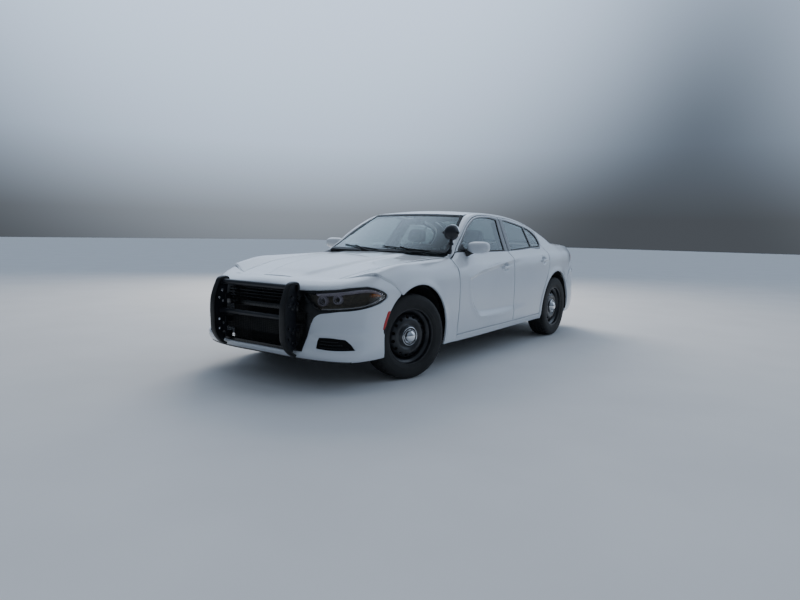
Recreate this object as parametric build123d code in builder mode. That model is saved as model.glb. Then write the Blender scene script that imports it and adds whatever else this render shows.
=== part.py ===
from build123d import *
import math
import os

os.makedirs("parts", exist_ok=True)

# A full-size four-door patrol sedan, in millimetres.
# The front faces -Y and the car's left side is +X. The tables give s, the distance
# rearward of the front axle, and y = s - S_MID puts the origin under the middle.

S_FRONT, S_REAR = -1062, 4113          # push bumper's front edge, rear bumper's back
S_MID = (S_FRONT + S_REAR) / 2
WHEELBASE = 3052
TYRE_R, TYRE_W, RIM_R = 360, 225, 230  # tyre outside radius and width, rim radius
TRACK_F, TRACK_R = 805, 810            # wheel centre from the middle, front and rear
KINGPIN_X = 715                        # steering axis from the middle
STEER_REST = -16                       # front wheels as parked, turned to the car's right
STEER_RATIO = 13.5                     # steering wheel turns per wheel turn
ARCH_F, ARCH_R = 437, 442              # wheel arch radii in the body sides
LINER_R = 430
GAP = 7                                # shut lines
TAPER = math.tan(math.radians(20))     # door edges draw in towards the cabin, above the belt
LOW_TAPER = math.tan(math.radians(8))  # and below it
DOOR_T, FRAME_T = 75, 45               # door thickness below and above the belt


def Y(s):
    return s - S_MID


def station(s):
    """Upright plane across the car; its x is the car's X and its y is Z."""
    return Plane(origin=(0, Y(s), 0), x_dir=(1, 0, 0), z_dir=(0, -1, 0))


def side(x):
    """Upright plane along the car at x; its x runs rearward and its y is Z."""
    return Plane(origin=(x, -S_MID, 0), x_dir=(0, 1, 0), z_dir=(1, 0, 0))


def level(z):
    """Flat plane at height z; its x is the car's X and its y is s."""
    return Plane(origin=(0, -S_MID, z), x_dir=(1, 0, 0), z_dir=(0, 0, 1))


def save(built, name):
    built.part.label = name
    export_step(built.part, f"parts/{name}.step")


def inset(outline, d):
    """Points of a closed outline moved inward by d (outward when negative)."""
    n = len(outline)
    area = sum(outline[i][0] * outline[(i + 1) % n][1] - outline[(i + 1) % n][0] * outline[i][1] for i in range(n))
    turn = 1 if area > 0 else -1
    out = []
    for i in range(n):
        (ax, ay), (bx, by), (cx, cy) = outline[i - 1], outline[i], outline[(i + 1) % n]
        l1, l2 = math.hypot(bx - ax, by - ay), math.hypot(cx - bx, cy - by)
        n1 = (-(by - ay) / l1 * turn, (bx - ax) / l1 * turn)
        n2 = (-(cy - by) / l2 * turn, (cx - bx) / l2 * turn)
        k = 1 + n1[0] * n2[0] + n1[1] * n2[1]
        out.append((bx + d * (n1[0] + n2[0]) / k, by + d * (n1[1] + n2[1]) / k))
    return out


def mirrored(points):
    """Left half section, bottom to middle, completed with its right half."""
    return points + [(-x, z) for x, z in reversed(points) if x > 0]


# ---------------------------------------------------------------- outer surface
# Cabin and tail. One row per station, left half, bottom to middle:
# s, sill x z, rocker x z, widest x z, shoulder x z, belt x z, rail x z, edge x z, middle z
CABIN = [
    (480, 905, 226, 921, 300, 946, 640, 936, 885, 833, 995, 760, 1005, 560, 1016, 1034),
    (715, 905, 227, 923, 300, 944, 640, 935, 892, 830, 1000, 762, 1017, 560, 1040, 1056),
    (1030, 905, 228, 925, 300, 943, 640, 933, 905, 829, 1012, 724, 1222, 655, 1232, 1300),
    (1335, 905, 232, 925, 305, 942, 640, 931, 918, 828, 1024, 634, 1408, 566, 1424, 1440),
    (1700, 905, 238, 925, 308, 941, 640, 929, 940, 826, 1046, 612, 1438, 555, 1454, 1482),
    (2130, 905, 246, 925, 312, 941, 640, 927, 965, 818, 1068, 616, 1428, 555, 1450, 1478),
    (2530, 903, 250, 925, 316, 943, 650, 924, 985, 806, 1090, 652, 1372, 575, 1416, 1444),
    (2830, 900, 250, 925, 320, 946, 660, 922, 1000, 798, 1104, 692, 1296, 596, 1332, 1352),
    (3060, 895, 250, 920, 320, 946, 670, 918, 1008, 794, 1112, 744, 1196, 640, 1226, 1244),
    (3230, 885, 250, 910, 320, 940, 675, 912, 1012, 792, 1114, 760, 1122, 660, 1146, 1166),
    (3340, 875, 250, 902, 320, 930, 680, 903, 1014, 786, 1112, 752, 1117, 640, 1124, 1136),
    (3600, 845, 250, 872, 320, 900, 680, 876, 1010, 768, 1106, 735, 1112, 640, 1120, 1132),
    (3800, 780, 250, 806, 320, 838, 680, 822, 1000, 742, 1094, 712, 1104, 630, 1116, 1130),
    (3990, 690, 250, 712, 320, 752, 680, 744, 985, 690, 1066, 664, 1090, 600, 1106, 1128),
]
# Wall thickness at each of the same points, x z; the underside is left open.
CABIN_T = [(110, 120), (110, 0), (75, 0), (75, 0), (70, 14), (44, 34), (14, 34), (0, 32)]

# Wings and bonnet: s, low x z, widest x z, shoulder x z, crest x z, shut x z, crease x z, middle z
NOSE = [
    (-760, 820, 230, 826, 620, 828, 790, 700, 826, 540, 832, 385, 846, 851),
    (-600, 880, 230, 886, 620, 888, 800, 800, 862, 562, 846, 400, 862, 868),
    (-500, 890, 230, 897, 620, 890, 830, 835, 905, 580, 868, 420, 885, 893),
    (-190, 905, 230, 938, 620, 930, 880, 860, 977, 630, 930, 450, 945, 952),
    (40, 918, 230, 952, 640, 943, 885, 852, 985, 660, 957, 475, 972, 982),
    (290, 920, 230, 950, 640, 940, 885, 840, 990, 690, 980, 500, 998, 1010),
    (500, 919, 230, 946, 640, 936, 888, 834, 995, 715, 995, 530, 1016, 1032),
    (700, 918, 230, 944, 640, 935, 892, 830, 1000, 740, 1008, 565, 1034, 1050),
]
NOSE_T = [(12, 60), (12, 0), (12, 0), (14, 12), (0, 22), (0, 24), (0, 25)]


def section(row, walls=None):
    xz = list(row[1:-1])
    points = [(xz[i], xz[i + 1]) for i in range(0, len(xz), 2)] + [(0, row[-1])]
    if walls:
        points = [(x - tx if x else 0, z - tz) for (x, z), (tx, tz) in zip(points, walls)]
    return mirrored(points)


def lofted(rows, walls=None):
    with BuildPart() as body:
        for row in rows:
            with BuildSketch(station(row[0])):
                with BuildLine():
                    Polyline(*section(row, walls), close=True)
                make_face()
        loft(ruled=True)
    return body.part


def shell_of(rows, walls):
    first, last = (rows[0][0] - 40,) + rows[0][1:], (rows[-1][0] + 40,) + rows[-1][1:]
    solid, hollow = lofted(rows), lofted([first] + rows + [last], walls)
    with BuildPart() as shell:
        add(solid)
        add(hollow, mode=Mode.SUBTRACT)
    return shell.part


CABIN_SHELL = shell_of(CABIN, CABIN_T)
NOSE_SHELL = shell_of(NOSE, NOSE_T)


def tumble(d):
    """Plane of the side glass, leaning in by one in two; d is the distance outside it."""
    return Plane(origin=(1340 + 0.8944 * d, -S_MID, 0.4472 * d), x_dir=(0, 1, 0), z_dir=(0.8944, 0, 0.4472))


def lower_plug(outline, grow=0):
    """Door block below the belt: outline (s, z) at the skin, drawn in a little inboard."""
    with BuildPart() as block:
        for x in (990, 700):
            with BuildSketch(side(x)):
                with BuildLine():
                    Polyline(*inset(outline, LOW_TAPER * (935 - x) - grow), close=True)
                make_face()
        loft(ruled=True)
    return block.part


def upper_plug(outline, grow=0):
    """Door block above the belt, square to the side glass."""
    with BuildPart() as block:
        for d in (60, -70):
            with BuildSketch(tumble(d)):
                with BuildLine():
                    Polyline(*[(s, z / 0.8944) for s, z in inset(outline, -TAPER * d - grow)], close=True)
                make_face()
        loft(ruled=True)
    return block.part


def slab(outline, x0, x1):
    """Side-view outline (s, z) pushed from x0 to x1."""
    with BuildPart() as block:
        with BuildSketch(side(x0)):
            with BuildLine():
                Polyline(*outline, close=True)
            make_face()
        extrude(amount=x1 - x0)
    return block.part


def tile(outline, z0, z1):
    """Plan outline (x, s) pushed from z0 to z1."""
    with BuildPart() as block:
        with BuildSketch(level(z0)):
            with BuildLine():
                Polyline(*outline, close=True)
            make_face()
        extrude(amount=z1 - z0)
    return block.part


def both(points):
    """Left half of a plan outline, completed with its right half; points with x = 0 stand once."""
    return points + [(-x, s) for x, s in reversed(points) if x > 0]


def ring(outer, inner):
    """Closed plan outline between two left-half lines that both start at x = 0."""
    return ([(-x, s) for x, s in reversed(outer) if x > 0] + outer + inner[::-1]
            + [(-x, s) for x, s in inner if x > 0])


def wheel_hole(s, r, x0=560, x1=1000):
    with BuildPart() as hole:
        with BuildSketch(side(x0)):
            with Locations((s, TYRE_R)):
                Circle(r)
        extrude(amount=x1 - x0)
    return hole.part


# ---------------------------------------------------------------- door outlines (s, z)
FRONT_LOW = [(664, 296), (1852, 304), (1856, 1062), (840, 1062), (790, 1030), (720, 1012), (664, 992)]
FRONT_UP = [(790, 1034), (1847, 1034), (1979, 1408), (1780, 1428), (1510, 1428), (1372, 1410), (1245, 1368),
            (1020, 1232), (868, 1096)]
REAR_LOW = [(1861, 305), (2566, 318), (2560, 420), (2636, 606), (2752, 752), (2822, 850), (2832, 1110), (1867, 1062)]
REAR_UP = [(1864, 1034), (2838, 1080), (2848, 1180), (2776, 1318), (2560, 1334), (2430, 1356),
           (2270, 1390), (2060, 1412), (1991, 1408)]
FRONT_LIGHT = [(905, 1074), (1786, 1064), (1904, 1390), (1780, 1404), (1515, 1404), (1388, 1388), (1262, 1346),
               (1046, 1208)]
REAR_LIGHT = [(1938, 1068), (2760, 1106), (2798, 1176), (2744, 1282), (2545, 1302), (2420, 1330), (2270, 1364),
              (2052, 1386)]


# Doors stop short of the screen pillar, roof ditch and back light in plan (x, s).
DOOR_ZONE = tile([(794, 655), (774, 715), (668, 1030), (600, 1335), (585, 1500), (585, 2540), (640, 2830), (650, 2900),
                  (1000, 2900), (1000, 655)], 100, 1500)


def door(low, up, window):
    halves = (lower_plug(low), upper_plug(up))
    light = slab(window, 400, 1000)
    parts = []
    for block in halves:
        with BuildPart() as half:
            add(CABIN_SHELL)
            add(block, mode=Mode.INTERSECT)
            add(DOOR_ZONE, mode=Mode.INTERSECT)
            add(light, mode=Mode.SUBTRACT)
        parts.append(half.part)
    with BuildPart() as d:
        for part in parts:
            add(part)
    return d.part


def pane(window):
    """Glass 5 mm thick, 14 mm inside the door's skin."""
    rows = [r for r in CABIN if 700 < r[0] < 3000]
    longer = [(rows[0][0] - 20,) + rows[0][1:]] + rows + [(rows[-1][0] + 20,) + rows[-1][1:]]
    outer, inner = lofted(rows, [(14, 0)] * 7 + [(0, 14)]), lofted(longer, [(19, 0)] * 7 + [(0, 19)])
    light = slab(window, 400, 1000)
    with BuildPart() as glass:
        add(outer)
        add(inner, mode=Mode.SUBTRACT)
        add(light, mode=Mode.INTERSECT)
    return glass.part


for name, low, up, window in (("front", FRONT_LOW, FRONT_UP, FRONT_LIGHT), ("rear", REAR_LOW, REAR_UP, REAR_LIGHT)):
    left = door(low, up, window)
    left_glass = pane(window)
    with BuildPart() as panel:
        add(left)
    save(panel, f"{name}_door_left")
    with BuildPart() as panel:
        add(left)
        mirror(about=Plane.YZ, mode=Mode.REPLACE)
    save(panel, f"{name}_door_right")
    with BuildPart() as glass:
        add(left_glass)
    save(glass, f"{name}_door_glass_left")
    with BuildPart() as glass:
        add(left_glass)
        mirror(about=Plane.YZ, mode=Mode.REPLACE)
    save(glass, f"{name}_door_glass_right")

# ---------------------------------------------------------------- body side
# Everything outboard of this plan line (x, s): screen edge, roof ditch, back light, boot opening.
SIDE_LINE = [(764, 661), (764, 700), (568, 1322), (560, 1400), (560, 2540), (590, 2830), (622, 3225), (624, 4000)]
outboard = tile(SIDE_LINE + [(1000, 4000), (1000, 661)], 100, 1500)
openings = [lower_plug(FRONT_LOW, GAP), upper_plug(FRONT_UP, GAP), lower_plug(REAR_LOW, GAP),
            upper_plug(REAR_UP, GAP), wheel_hole(WHEELBASE, ARCH_R),
            # behind the rear wheel the bumper takes the lower corner; tail lamp pocket
            slab([(3440, 100), (4050, 100), (4050, 832), (3560, 800), (3440, 640)], 300, 1000),
            slab([(3826, 886), (4050, 886), (4050, 1012), (3826, 1012)], 500, 1000)]
# hinge pillar, rocker front end and screen pillar foot
feet = [slab([(500, 240), (655, 240), (655, 890), (500, 890)], 744, 880),
        slab([(500, 880), (655, 880), (655, 962), (500, 940)], 740, 826),
        slab([(500, 230), (700, 230), (700, 284), (500, 284)], 800, 918),
        slab([(560, 880), (655, 880), (800, 900), (800, 1050), (700, 984), (655, 962), (560, 940)], 688, 742),
        # centre pillar's foot and head
        slab([(1800, 246), (1920, 246), (1920, 284), (1800, 284)], 760, 840),
        slab([(1900, 1370), (2030, 1370), (2030, 1420), (1900, 1420)], 562, 576)]
# centre pillar, inboard of both doors
post_zone = slab([(1800, 246), (1920, 246), (1920, 1050), (2040, 1400), (1920, 1400), (1800, 1050)], 500, 900)
rows = [r for r in CABIN if 1300 < r[0] < 2600]
longer = [(rows[0][0] - 20,) + rows[0][1:]] + rows + [(rows[-1][0] + 20,) + rows[-1][1:]]
post_out, post_in = lofted(rows, [(a + 6, b + 2) for a, b in CABIN_T]), lofted(longer, [(a + 40, b + 30) for a, b in CABIN_T])
with BuildPart() as centre_post:
    add(post_out)
    add(post_in, mode=Mode.SUBTRACT)
    add(post_zone, mode=Mode.INTERSECT)
with BuildPart() as body_side:
    add(CABIN_SHELL)
    add(outboard, mode=Mode.INTERSECT)
    for cut in openings:
        add(cut, mode=Mode.SUBTRACT)
    for foot in feet:
        add(foot)
    add(centre_post.part)
left_side = body_side.part
save(body_side, "body_side_left")
with BuildPart() as body_side:
    add(left_side)
    mirror(about=Plane.YZ, mode=Mode.REPLACE)
save(body_side, "body_side_right")

# ---------------------------------------------------------------- roof, boot lid, bonnet, wings
roof_zone = tile(both([(0, 1314), (400, 1332), (562, 1354), (556, 1410), (556, 2536), (400, 2556), (0, 2566)]),
                 1300, 1500)
with BuildPart() as roof_panel:
    add(CABIN_SHELL)
    add(roof_zone, mode=Mode.INTERSECT)
save(roof_panel, "roof_panel")

LID_FRONT, LID_X = 3350, 616
lid_zone = tile(both([(LID_X, LID_FRONT), (LID_X - 2, 3990)]), 1000, 1200)
lid_back = tile(ring([(0, 4066), (400, 4050), (560, 4026), (616, 3990), (616, 3940)],
                     [(0, 4026), (400, 4010), (540, 3984), (570, 3940)]), 846, 1100)
with BuildPart() as trunk_lid:
    add(CABIN_SHELL)
    add(lid_zone, mode=Mode.INTERSECT)
    add(lid_back)
save(trunk_lid, "trunk_lid")

HOOD_REAR = 655
HOOD_LINE = [(562, -602), (582, -500), (632, -190), (662, 40), (692, 290), (717, 500), (735, HOOD_REAR)]
hood_zone = tile(both([(0, -722), (300, -694)] + [(x - 3, s) for x, s in HOOD_LINE] + [(520, 600), (260, 540), (0, 520)]),
                 700, 1100)
with BuildPart() as hood:
    add(NOSE_SHELL)
    add(hood_zone, mode=Mode.INTERSECT)
save(hood, "hood")

wing_plan = tile([(x + 3, s) for x, s in HOOD_LINE] + [(760, 652), (1000, 652), (1000, -464), (880, -502)], 100, 1100)
wing_side = slab([(-604, 760), (-560, 800), (-505, 893), (-385, 841), (-272, 777), (-200, 600), (-200, 292),
                  (652, 292), (652, 1100), (-604, 1100)], 400, 1000)
wing_arch = wheel_hole(0, ARCH_F)
with BuildPart() as wing:
    add(NOSE_SHELL)
    add(wing_plan, mode=Mode.INTERSECT)
    add(wing_side, mode=Mode.INTERSECT)
    add(wing_arch, mode=Mode.SUBTRACT)
with BuildPart() as front_fenders:
    add(wing.part)
    mirror(about=Plane.YZ)
save(front_fenders, "front_fenders")

# ---------------------------------------------------------------- front bumper cover
# z, wall, then the plan line from the middle to the arch: s at x=0, x s, x s, x s, x s
FRONT_COVER = [
    (236, 14, -880, 467, -890, 711, -822, 880, -690, 893, -442),
    (266, 14, -905, 467, -922, 711, -848, 892, -712, 902, -442),
    (450, 14, -922, 467, -914, 735, -826, 882, -676, 905, -442),
    (600, 14, -927, 467, -910, 740, -798, 884, -636, 906, -400),
    (720, 16, -918, 467, -903, 740, -782, 886, -600, 908, -350),
    (790, 40, -892, 467, -874, 726, -756, 880, -585, 914, -300),
    (852, 60, -748, 450, -690, 600, -640, 800, -600, 900, -500),
]


def wrap_outline(row):
    z, wall, s0 = row[:3]
    pts = [(row[i], row[i + 1]) for i in range(3, len(row), 2)]
    sign = 1 if s0 < 0 else -1
    ends = [(0.0, s0)] + pts
    inner = []
    for i, (x, s) in enumerate(ends):
        a, b = ends[max(i - 1, 0)], ends[min(i + 1, len(ends) - 1)]
        if i == 0:
            a = (-b[0], b[1])
        dx, ds = b[0] - a[0], b[1] - a[1]
        ln = math.hypot(dx, ds)
        nx, ns = -ds / ln * sign, dx / ln * sign
        inner.append((x + wall * nx if i else 0.0, s + wall * ns))
    return ends, inner


def wrap_shell(rows):
    """Cover that wraps round a corner: level sections joined, hollow behind its wall."""
    with BuildPart() as cover:
        for row in rows:
            with BuildSketch(level(row[0])):
                with BuildLine():
                    Polyline(*ring(*wrap_outline(row)), close=True)
                make_face()
        loft(ruled=True)
    return cover.part


# Headlamps: wrap-round boxes filling the cover's lamp openings
LAMP = [  # z, plan points x s
    (634, (466, -896), (560, -860), (738, -782), (820, -706), (866, -650)),
    (700, (462, -894), (560, -862), (736, -780), (846, -676), (892, -560)),
    (768, (462, -880), (560, -846), (724, -766), (846, -650), (894, -520)),
]
with BuildPart() as lamp:
    for z, *pts in LAMP:
        with BuildSketch(level(z)):
            with BuildLine():
                Polyline(*pts, (800, -520), (560, -700), (470, -780), close=True)
            make_face()
    loft(ruled=True)
with BuildPart() as headlamps:
    add(lamp.part)
    mirror(about=Plane.YZ)
save(headlamps, "headlamps")

cover = wrap_shell(FRONT_COVER)
cuts = [  # fender and bonnet take the upper corner and the middle
    slab([(-500, 884), (-385, 833), (-276, 769), (-100, 700), (-100, 1000), (-500, 1000)], -1000, 1000),
    tile(both([(0, -738), (300, -708), (562, -610), (872, -512), (872, -200)]), 780, 1000)]
for k in (1, -1):  # lamp openings and lower pockets
    cuts.append(slab([(-1000, 772), (-800, 796), (-600, 812), (-400, 728), (-440, 700), (-600, 640), (-1000, 600)],
                     440 * k, 1000 * k))
    cuts.append(slab([(-1000, 330), (-690, 330), (-740, 430), (-1000, 430)], 590 * k, 870 * k))
with BuildPart() as front_bumper:
    add(cover)
    add(headlamps.part, mode=Mode.SUBTRACT)
    for cut in cuts:
        add(cut, mode=Mode.SUBTRACT)
    # mask opening for grille and lower intake
    with BuildSketch(station(-1000)):
        with BuildLine():
            Polyline((-460, 772), (460, 772), (460, 625), (552, 600), (470, 292), (-470, 292), (-552, 600),
                     (-460, 625), close=True)
        make_face()
    extrude(amount=-250, mode=Mode.SUBTRACT)
save(front_bumper, "front_bumper")

# Grille and intake: one dark panel 30 mm behind the cover's face, with bars standing on it
with BuildPart() as grille:
    with BuildSketch(station(-880)):
        with BuildLine():
            Polyline((-452, 764), (452, 764), (452, 626), (544, 598), (462, 300), (-462, 300), (-544, 598),
                     (-452, 626), close=True)
        make_face()
    extrude(amount=-18)
    for z in (330, 372, 414, 456, 498, 540, 640, 676, 712, 748):
        with BuildSketch(station(-894)):
            with Locations((0, z)):
                Rectangle(780, 9)
        extrude(amount=-16)
save(grille, "grille")

# ---------------------------------------------------------------- rear bumper cover
REAR_COVER = [
    (250, 14, 4060, 450, 4040, 700, 3960, 830, 3780, 884, 3500),
    (300, 14, 4100, 450, 4080, 720, 3995, 850, 3800, 900, 3490),
    (560, 14, 4113, 450, 4094, 730, 4005, 866, 3800, 922, 3490),
    (760, 14, 4108, 450, 4090, 728, 3996, 858, 3790, 916, 3520),
    (836, 30, 4090, 450, 4068, 712, 3980, 836, 3800, 898, 3600),
]
cover, arch = wrap_shell(REAR_COVER), wheel_hole(WHEELBASE, ARCH_R, -1000, 1000)
shoulder = slab([(3300, 440), (3440, 634), (3560, 794), (4050, 826), (4050, 1000), (3300, 1000)], -1000, 1000)
with BuildPart() as rear_bumper:
    add(cover)
    add(arch, mode=Mode.SUBTRACT)
    add(shoulder, mode=Mode.SUBTRACT)
    with BuildSketch(station(3850)):
        with Locations((600, 285), (-600, 285)):
            Circle(48)
    extrude(amount=-400, mode=Mode.SUBTRACT)
save(rear_bumper, "rear_bumper")

with BuildPart() as tail:
    with BuildSketch(level(890)):
        with BuildLine():
            Polyline((622, 3996), (690, 3990), (750, 3960), (822, 3840), (780, 3836), (700, 3930), (622, 3950),
                     close=True)
        make_face()
    extrude(amount=118)
with BuildPart() as tail_lamps:
    add(tail.part)
    mirror(about=Plane.YZ)
save(tail_lamps, "tail_lamps")

# ---------------------------------------------------------------- screens
# z, s at the middle, x s at the corner
SCREEN = [(1036, 545, 735, 742), (1240, 920, 642, 1060), (1426, 1275, 556, 1338)]
BACKLIGHT = [(1432, 2585, 548, 2566), (1290, 2940, 580, 2880), (1150, 3290, 610, 3200)]


def screen_glass(rows, thick):
    with BuildPart() as glass:
        for z, s0, x1, s1 in rows:
            xm, sm = x1 * 0.55, s0 + (s1 - s0) * 0.30
            front = [(-x1, s1), (-xm, sm), (0, s0), (xm, sm), (x1, s1)]
            back = [(x, s + thick) for x, s in reversed(front)]
            with BuildSketch(level(z)):
                with BuildLine():
                    Polyline(*front, *back, close=True)
                make_face()
        loft(ruled=True)
    return glass.part


with BuildPart() as windshield:
    add(screen_glass(SCREEN, 12))
save(windshield, "windshield")
with BuildPart() as rear_window:
    add(screen_glass(BACKLIGHT, -14))
save(rear_window, "rear_window")

# ---------------------------------------------------------------- floor, firewall, shelf
FLOOR = [(520, 330), (700, 216), (2080, 216), (2260, 300), (2500, 300), (2900, 470), (3300, 470), (3400, 440),
         (3950, 440), (3950, 820)]
with BuildPart() as floor_pan:
    with BuildSketch(side(-790)):
        with BuildLine():
            Polyline(*FLOOR, (3922, 820), (3922, 468), (3400, 468), (3300, 498), (2880, 498), (2490, 328), (2250, 328),
                     (2070, 242), (716, 242), (530, 356), close=True)
        make_face()
    extrude(amount=1580)
    # tunnel
    with BuildSketch(station(700)):
        with BuildLine():
            Polyline((-150, 230), (-110, 380), (110, 380), (150, 230), close=True)
        make_face()
    extrude(amount=-1420)
    with BuildSketch(station(690)):
        with BuildLine():
            Polyline((-120, 200), (-90, 360), (90, 360), (120, 200), close=True)
        make_face()
    extrude(amount=-1440, mode=Mode.SUBTRACT)
    with BuildSketch(level(100)):
        with BuildLine():
            Polyline(*both([(735, 500), (735, 662), (792, 670), (792, 2560), (690, 2620), (690, 3420), (640, 3500),
                            (640, 3960)]), close=True)
        make_face()
    extrude(amount=900, mode=Mode.INTERSECT)
    # wheel houses
    for k in (1, -1):
        with BuildSketch(side(560 * k)):
            with Locations((WHEELBASE, TYRE_R)):
                Circle(LINER_R + 12)
        extrude(amount=300 * k, mode=Mode.SUBTRACT)
save(floor_pan, "floor_pan")

with BuildPart() as firewall:
    with BuildSketch(side(-680)):
        with BuildLine():
            Polyline((505, 362), (540, 362), (560, 890), (640, 945), (700, 965), (700, 980), (620, 962), (530, 905),
                     close=True)
        make_face()
    extrude(amount=1360)
save(firewall, "firewall")

with BuildPart() as parcel_shelf:
    with BuildSketch(side(-600)):
        with BuildLine():
            Polyline((2672, 520), (2764, 1040), (3200, 1078), (3330, 1104), (3330, 1086), (3205, 1060), (2782, 1020),
                     (2696, 520), close=True)
        make_face()
    extrude(amount=1200)
save(parcel_shelf, "parcel_shelf")

# ---------------------------------------------------------------- wheel liners
liners = []
for s, sign, x_in in ((0, 1, 470), (0, -1, 470), (WHEELBASE, 1, 600), (WHEELBASE, -1, 600)):
    with BuildPart() as liner:
        with BuildSketch(side(x_in if sign > 0 else -x_in)):
            with Locations((s, TYRE_R)):
                Circle(LINER_R + 4)
        extrude(amount=(900 - x_in) * sign)
        with BuildSketch(side((x_in + 6) * sign)):
            with Locations((s, TYRE_R)):
                Circle(LINER_R)
        extrude(amount=460 * sign, mode=Mode.SUBTRACT)
        with Locations((0, Y(s), 100)):
            Box(2200, 1000, 400, mode=Mode.SUBTRACT)
        with BuildSketch(side((x_in - 20) * sign)):
            with Locations((s, TYRE_R)):
                Circle(150)
        extrude(amount=60 * sign, mode=Mode.SUBTRACT)
    liners.append(liner.part)
with BuildPart() as wheel_liners:
    for part in liners:
        add(part)
save(wheel_liners, "wheel_liners")

# ---------------------------------------------------------------- wheels and tyres
# tyre half section: radius, distance from the middle of its width
TYRE = [(RIM_R, 92), (RIM_R + 14, 100), (300, 112.5), (330, 110), (352, 98), (TYRE_R, 84)]
RIM = [(RIM_R, 92), (RIM_R, 70), (205, 55), (196, 0), (205, -60), (RIM_R, -75), (RIM_R, -92)]


def spin(points, centre, heading):
    """Turned piece: points (radius, distance along the axle), axle heading in degrees."""
    a = math.radians(heading)
    with BuildPart() as turned:
        with BuildSketch(Plane(origin=centre, x_dir=(0, 0, 1), z_dir=(-math.sin(a), math.cos(a), 0))):
            with BuildLine():
                Polyline(*points, close=True)
            make_face()
        revolve(axis=Axis(centre, (math.cos(a), math.sin(a), 0)))
    return turned.part


def hub_frame(centre, heading):
    a = math.radians(heading)
    return Plane(origin=centre, x_dir=(-math.sin(a), math.cos(a), 0), z_dir=(math.cos(a), math.sin(a), 0))


def wheel_centre(s, sign, track):
    """Wheel centre at rest; the front ones have swung about their kingpins."""
    if s:
        return (sign * track, Y(s), TYRE_R), (0 if sign > 0 else 180)
    a = math.radians(STEER_REST)
    r = (track - KINGPIN_X) * sign
    return (sign * KINGPIN_X + r * math.cos(a), Y(0) + r * math.sin(a), TYRE_R), (STEER_REST + (0 if sign > 0 else 180))


WHEELS = [("front_left", 0, 1, TRACK_F), ("front_right", 0, -1, TRACK_F),
          ("rear_left", WHEELBASE, 1, TRACK_R), ("rear_right", WHEELBASE, -1, TRACK_R)]
ORIGIN = (0, 0, 0)
tyre_shape = spin(TYRE + [(r, -w) for r, w in reversed(TYRE)], ORIGIN, 0)
# steel rim: barrel, dished disc with round vents, hub and cap
pieces = [spin(points, ORIGIN, 0) for points in (
    RIM + [(222, -92), (218, -78), (197, -58), (188, 0), (197, 50), (218, 68), (222, 92)],
    [(191, 2), (195, 24), (160, 52), (120, 68), (60, 74), (0, 74), (0, 60), (120, 58), (160, 42), (186, 16),
     (190, 2)],
    [(0, 70), (62, 70), (60, 78), (40, 86), (0, 90)])]
with BuildPart() as rim_shape:
    for piece in pieces[:2]:
        add(piece)
    with BuildSketch(hub_frame(ORIGIN, 0).offset(20)):
        with PolarLocations(150, 15):
            Circle(12)
    extrude(amount=60, mode=Mode.SUBTRACT)
    add(pieces[2])
for name, s, sign, track in WHEELS:
    centre, heading = wheel_centre(s, sign, track)
    with BuildPart() as tyre:
        with Locations(Location(centre, (0, 0, heading))):
            add(tyre_shape)
    save(tyre, f"tyre_{name}")
    with BuildPart() as rim:
        with Locations(Location(centre, (0, 0, heading))):
            add(rim_shape.part)
    save(rim, f"wheel_{name}")

# ---------------------------------------------------------------- knuckles, hubs, suspension
DISC = [(40, -10), (160, -10), (160, -36), (40, -36)]
for name, sign in (("left", 1), ("right", -1)):
    centre, heading = wheel_centre(0, sign, TRACK_F)
    # axle flange, carrier and brake disc, turned with the wheel
    turned = [spin(points, centre, heading) for points in (
        [(0, 57), (70, 57), (70, 50), (34, 50), (34, -20), (60, -20), (60, -60), (0, -60)], DISC,
        [(0, -30), (40, -30), (40, -110), (0, -110)])]
    with BuildPart() as knuckle:
        with Locations((sign * KINGPIN_X, Y(0), TYRE_R)):
            Cylinder(28, 250)
        for piece in turned:
            add(piece)
    save(knuckle, f"knuckle_{name}")

turned = []
for name, s, sign, track in WHEELS[2:]:
    centre, heading = wheel_centre(s, sign, track)
    turned.append(spin([(0, 57), (70, 57), (70, 50), (34, 50), (34, -20), (60, -20), (60, -80), (30, -80),
                        (30, -700), (0, -700)], centre, heading))
    turned.append(spin(DISC, centre, heading))
with BuildPart() as rear_suspension:
    for piece in turned:
        add(piece)
    for sign in (1, -1):
        with Locations((sign * 700, Y(WHEELBASE), 330)):
            Box(60, 110, 240)
        with Locations((sign * 520, Y(WHEELBASE + 20), 430)):
            Box(370, 46, 34)
        with Locations((sign * 350, Y(WHEELBASE), 262)):
            Box(60, 280, 90)
        for s0, s1 in ((-122, -52), (78, 18)):
            with BuildSketch(level(218)):
                with BuildLine():
                    Polyline((sign * 330, WHEELBASE + s0), (sign * 330, WHEELBASE + s0 + 45),
                             (sign * 690, WHEELBASE + s1 + 35), (sign * 690, WHEELBASE + s1), close=True)
                make_face()
            extrude(amount=34)
    with Locations((0, Y(WHEELBASE), 330)):
        Box(700, 360, 60)
    with Locations((0, Y(WHEELBASE), 360)):
        Cylinder(110, 260, rotation=(90, 0, 0))
save(rear_suspension, "rear_suspension")

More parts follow.
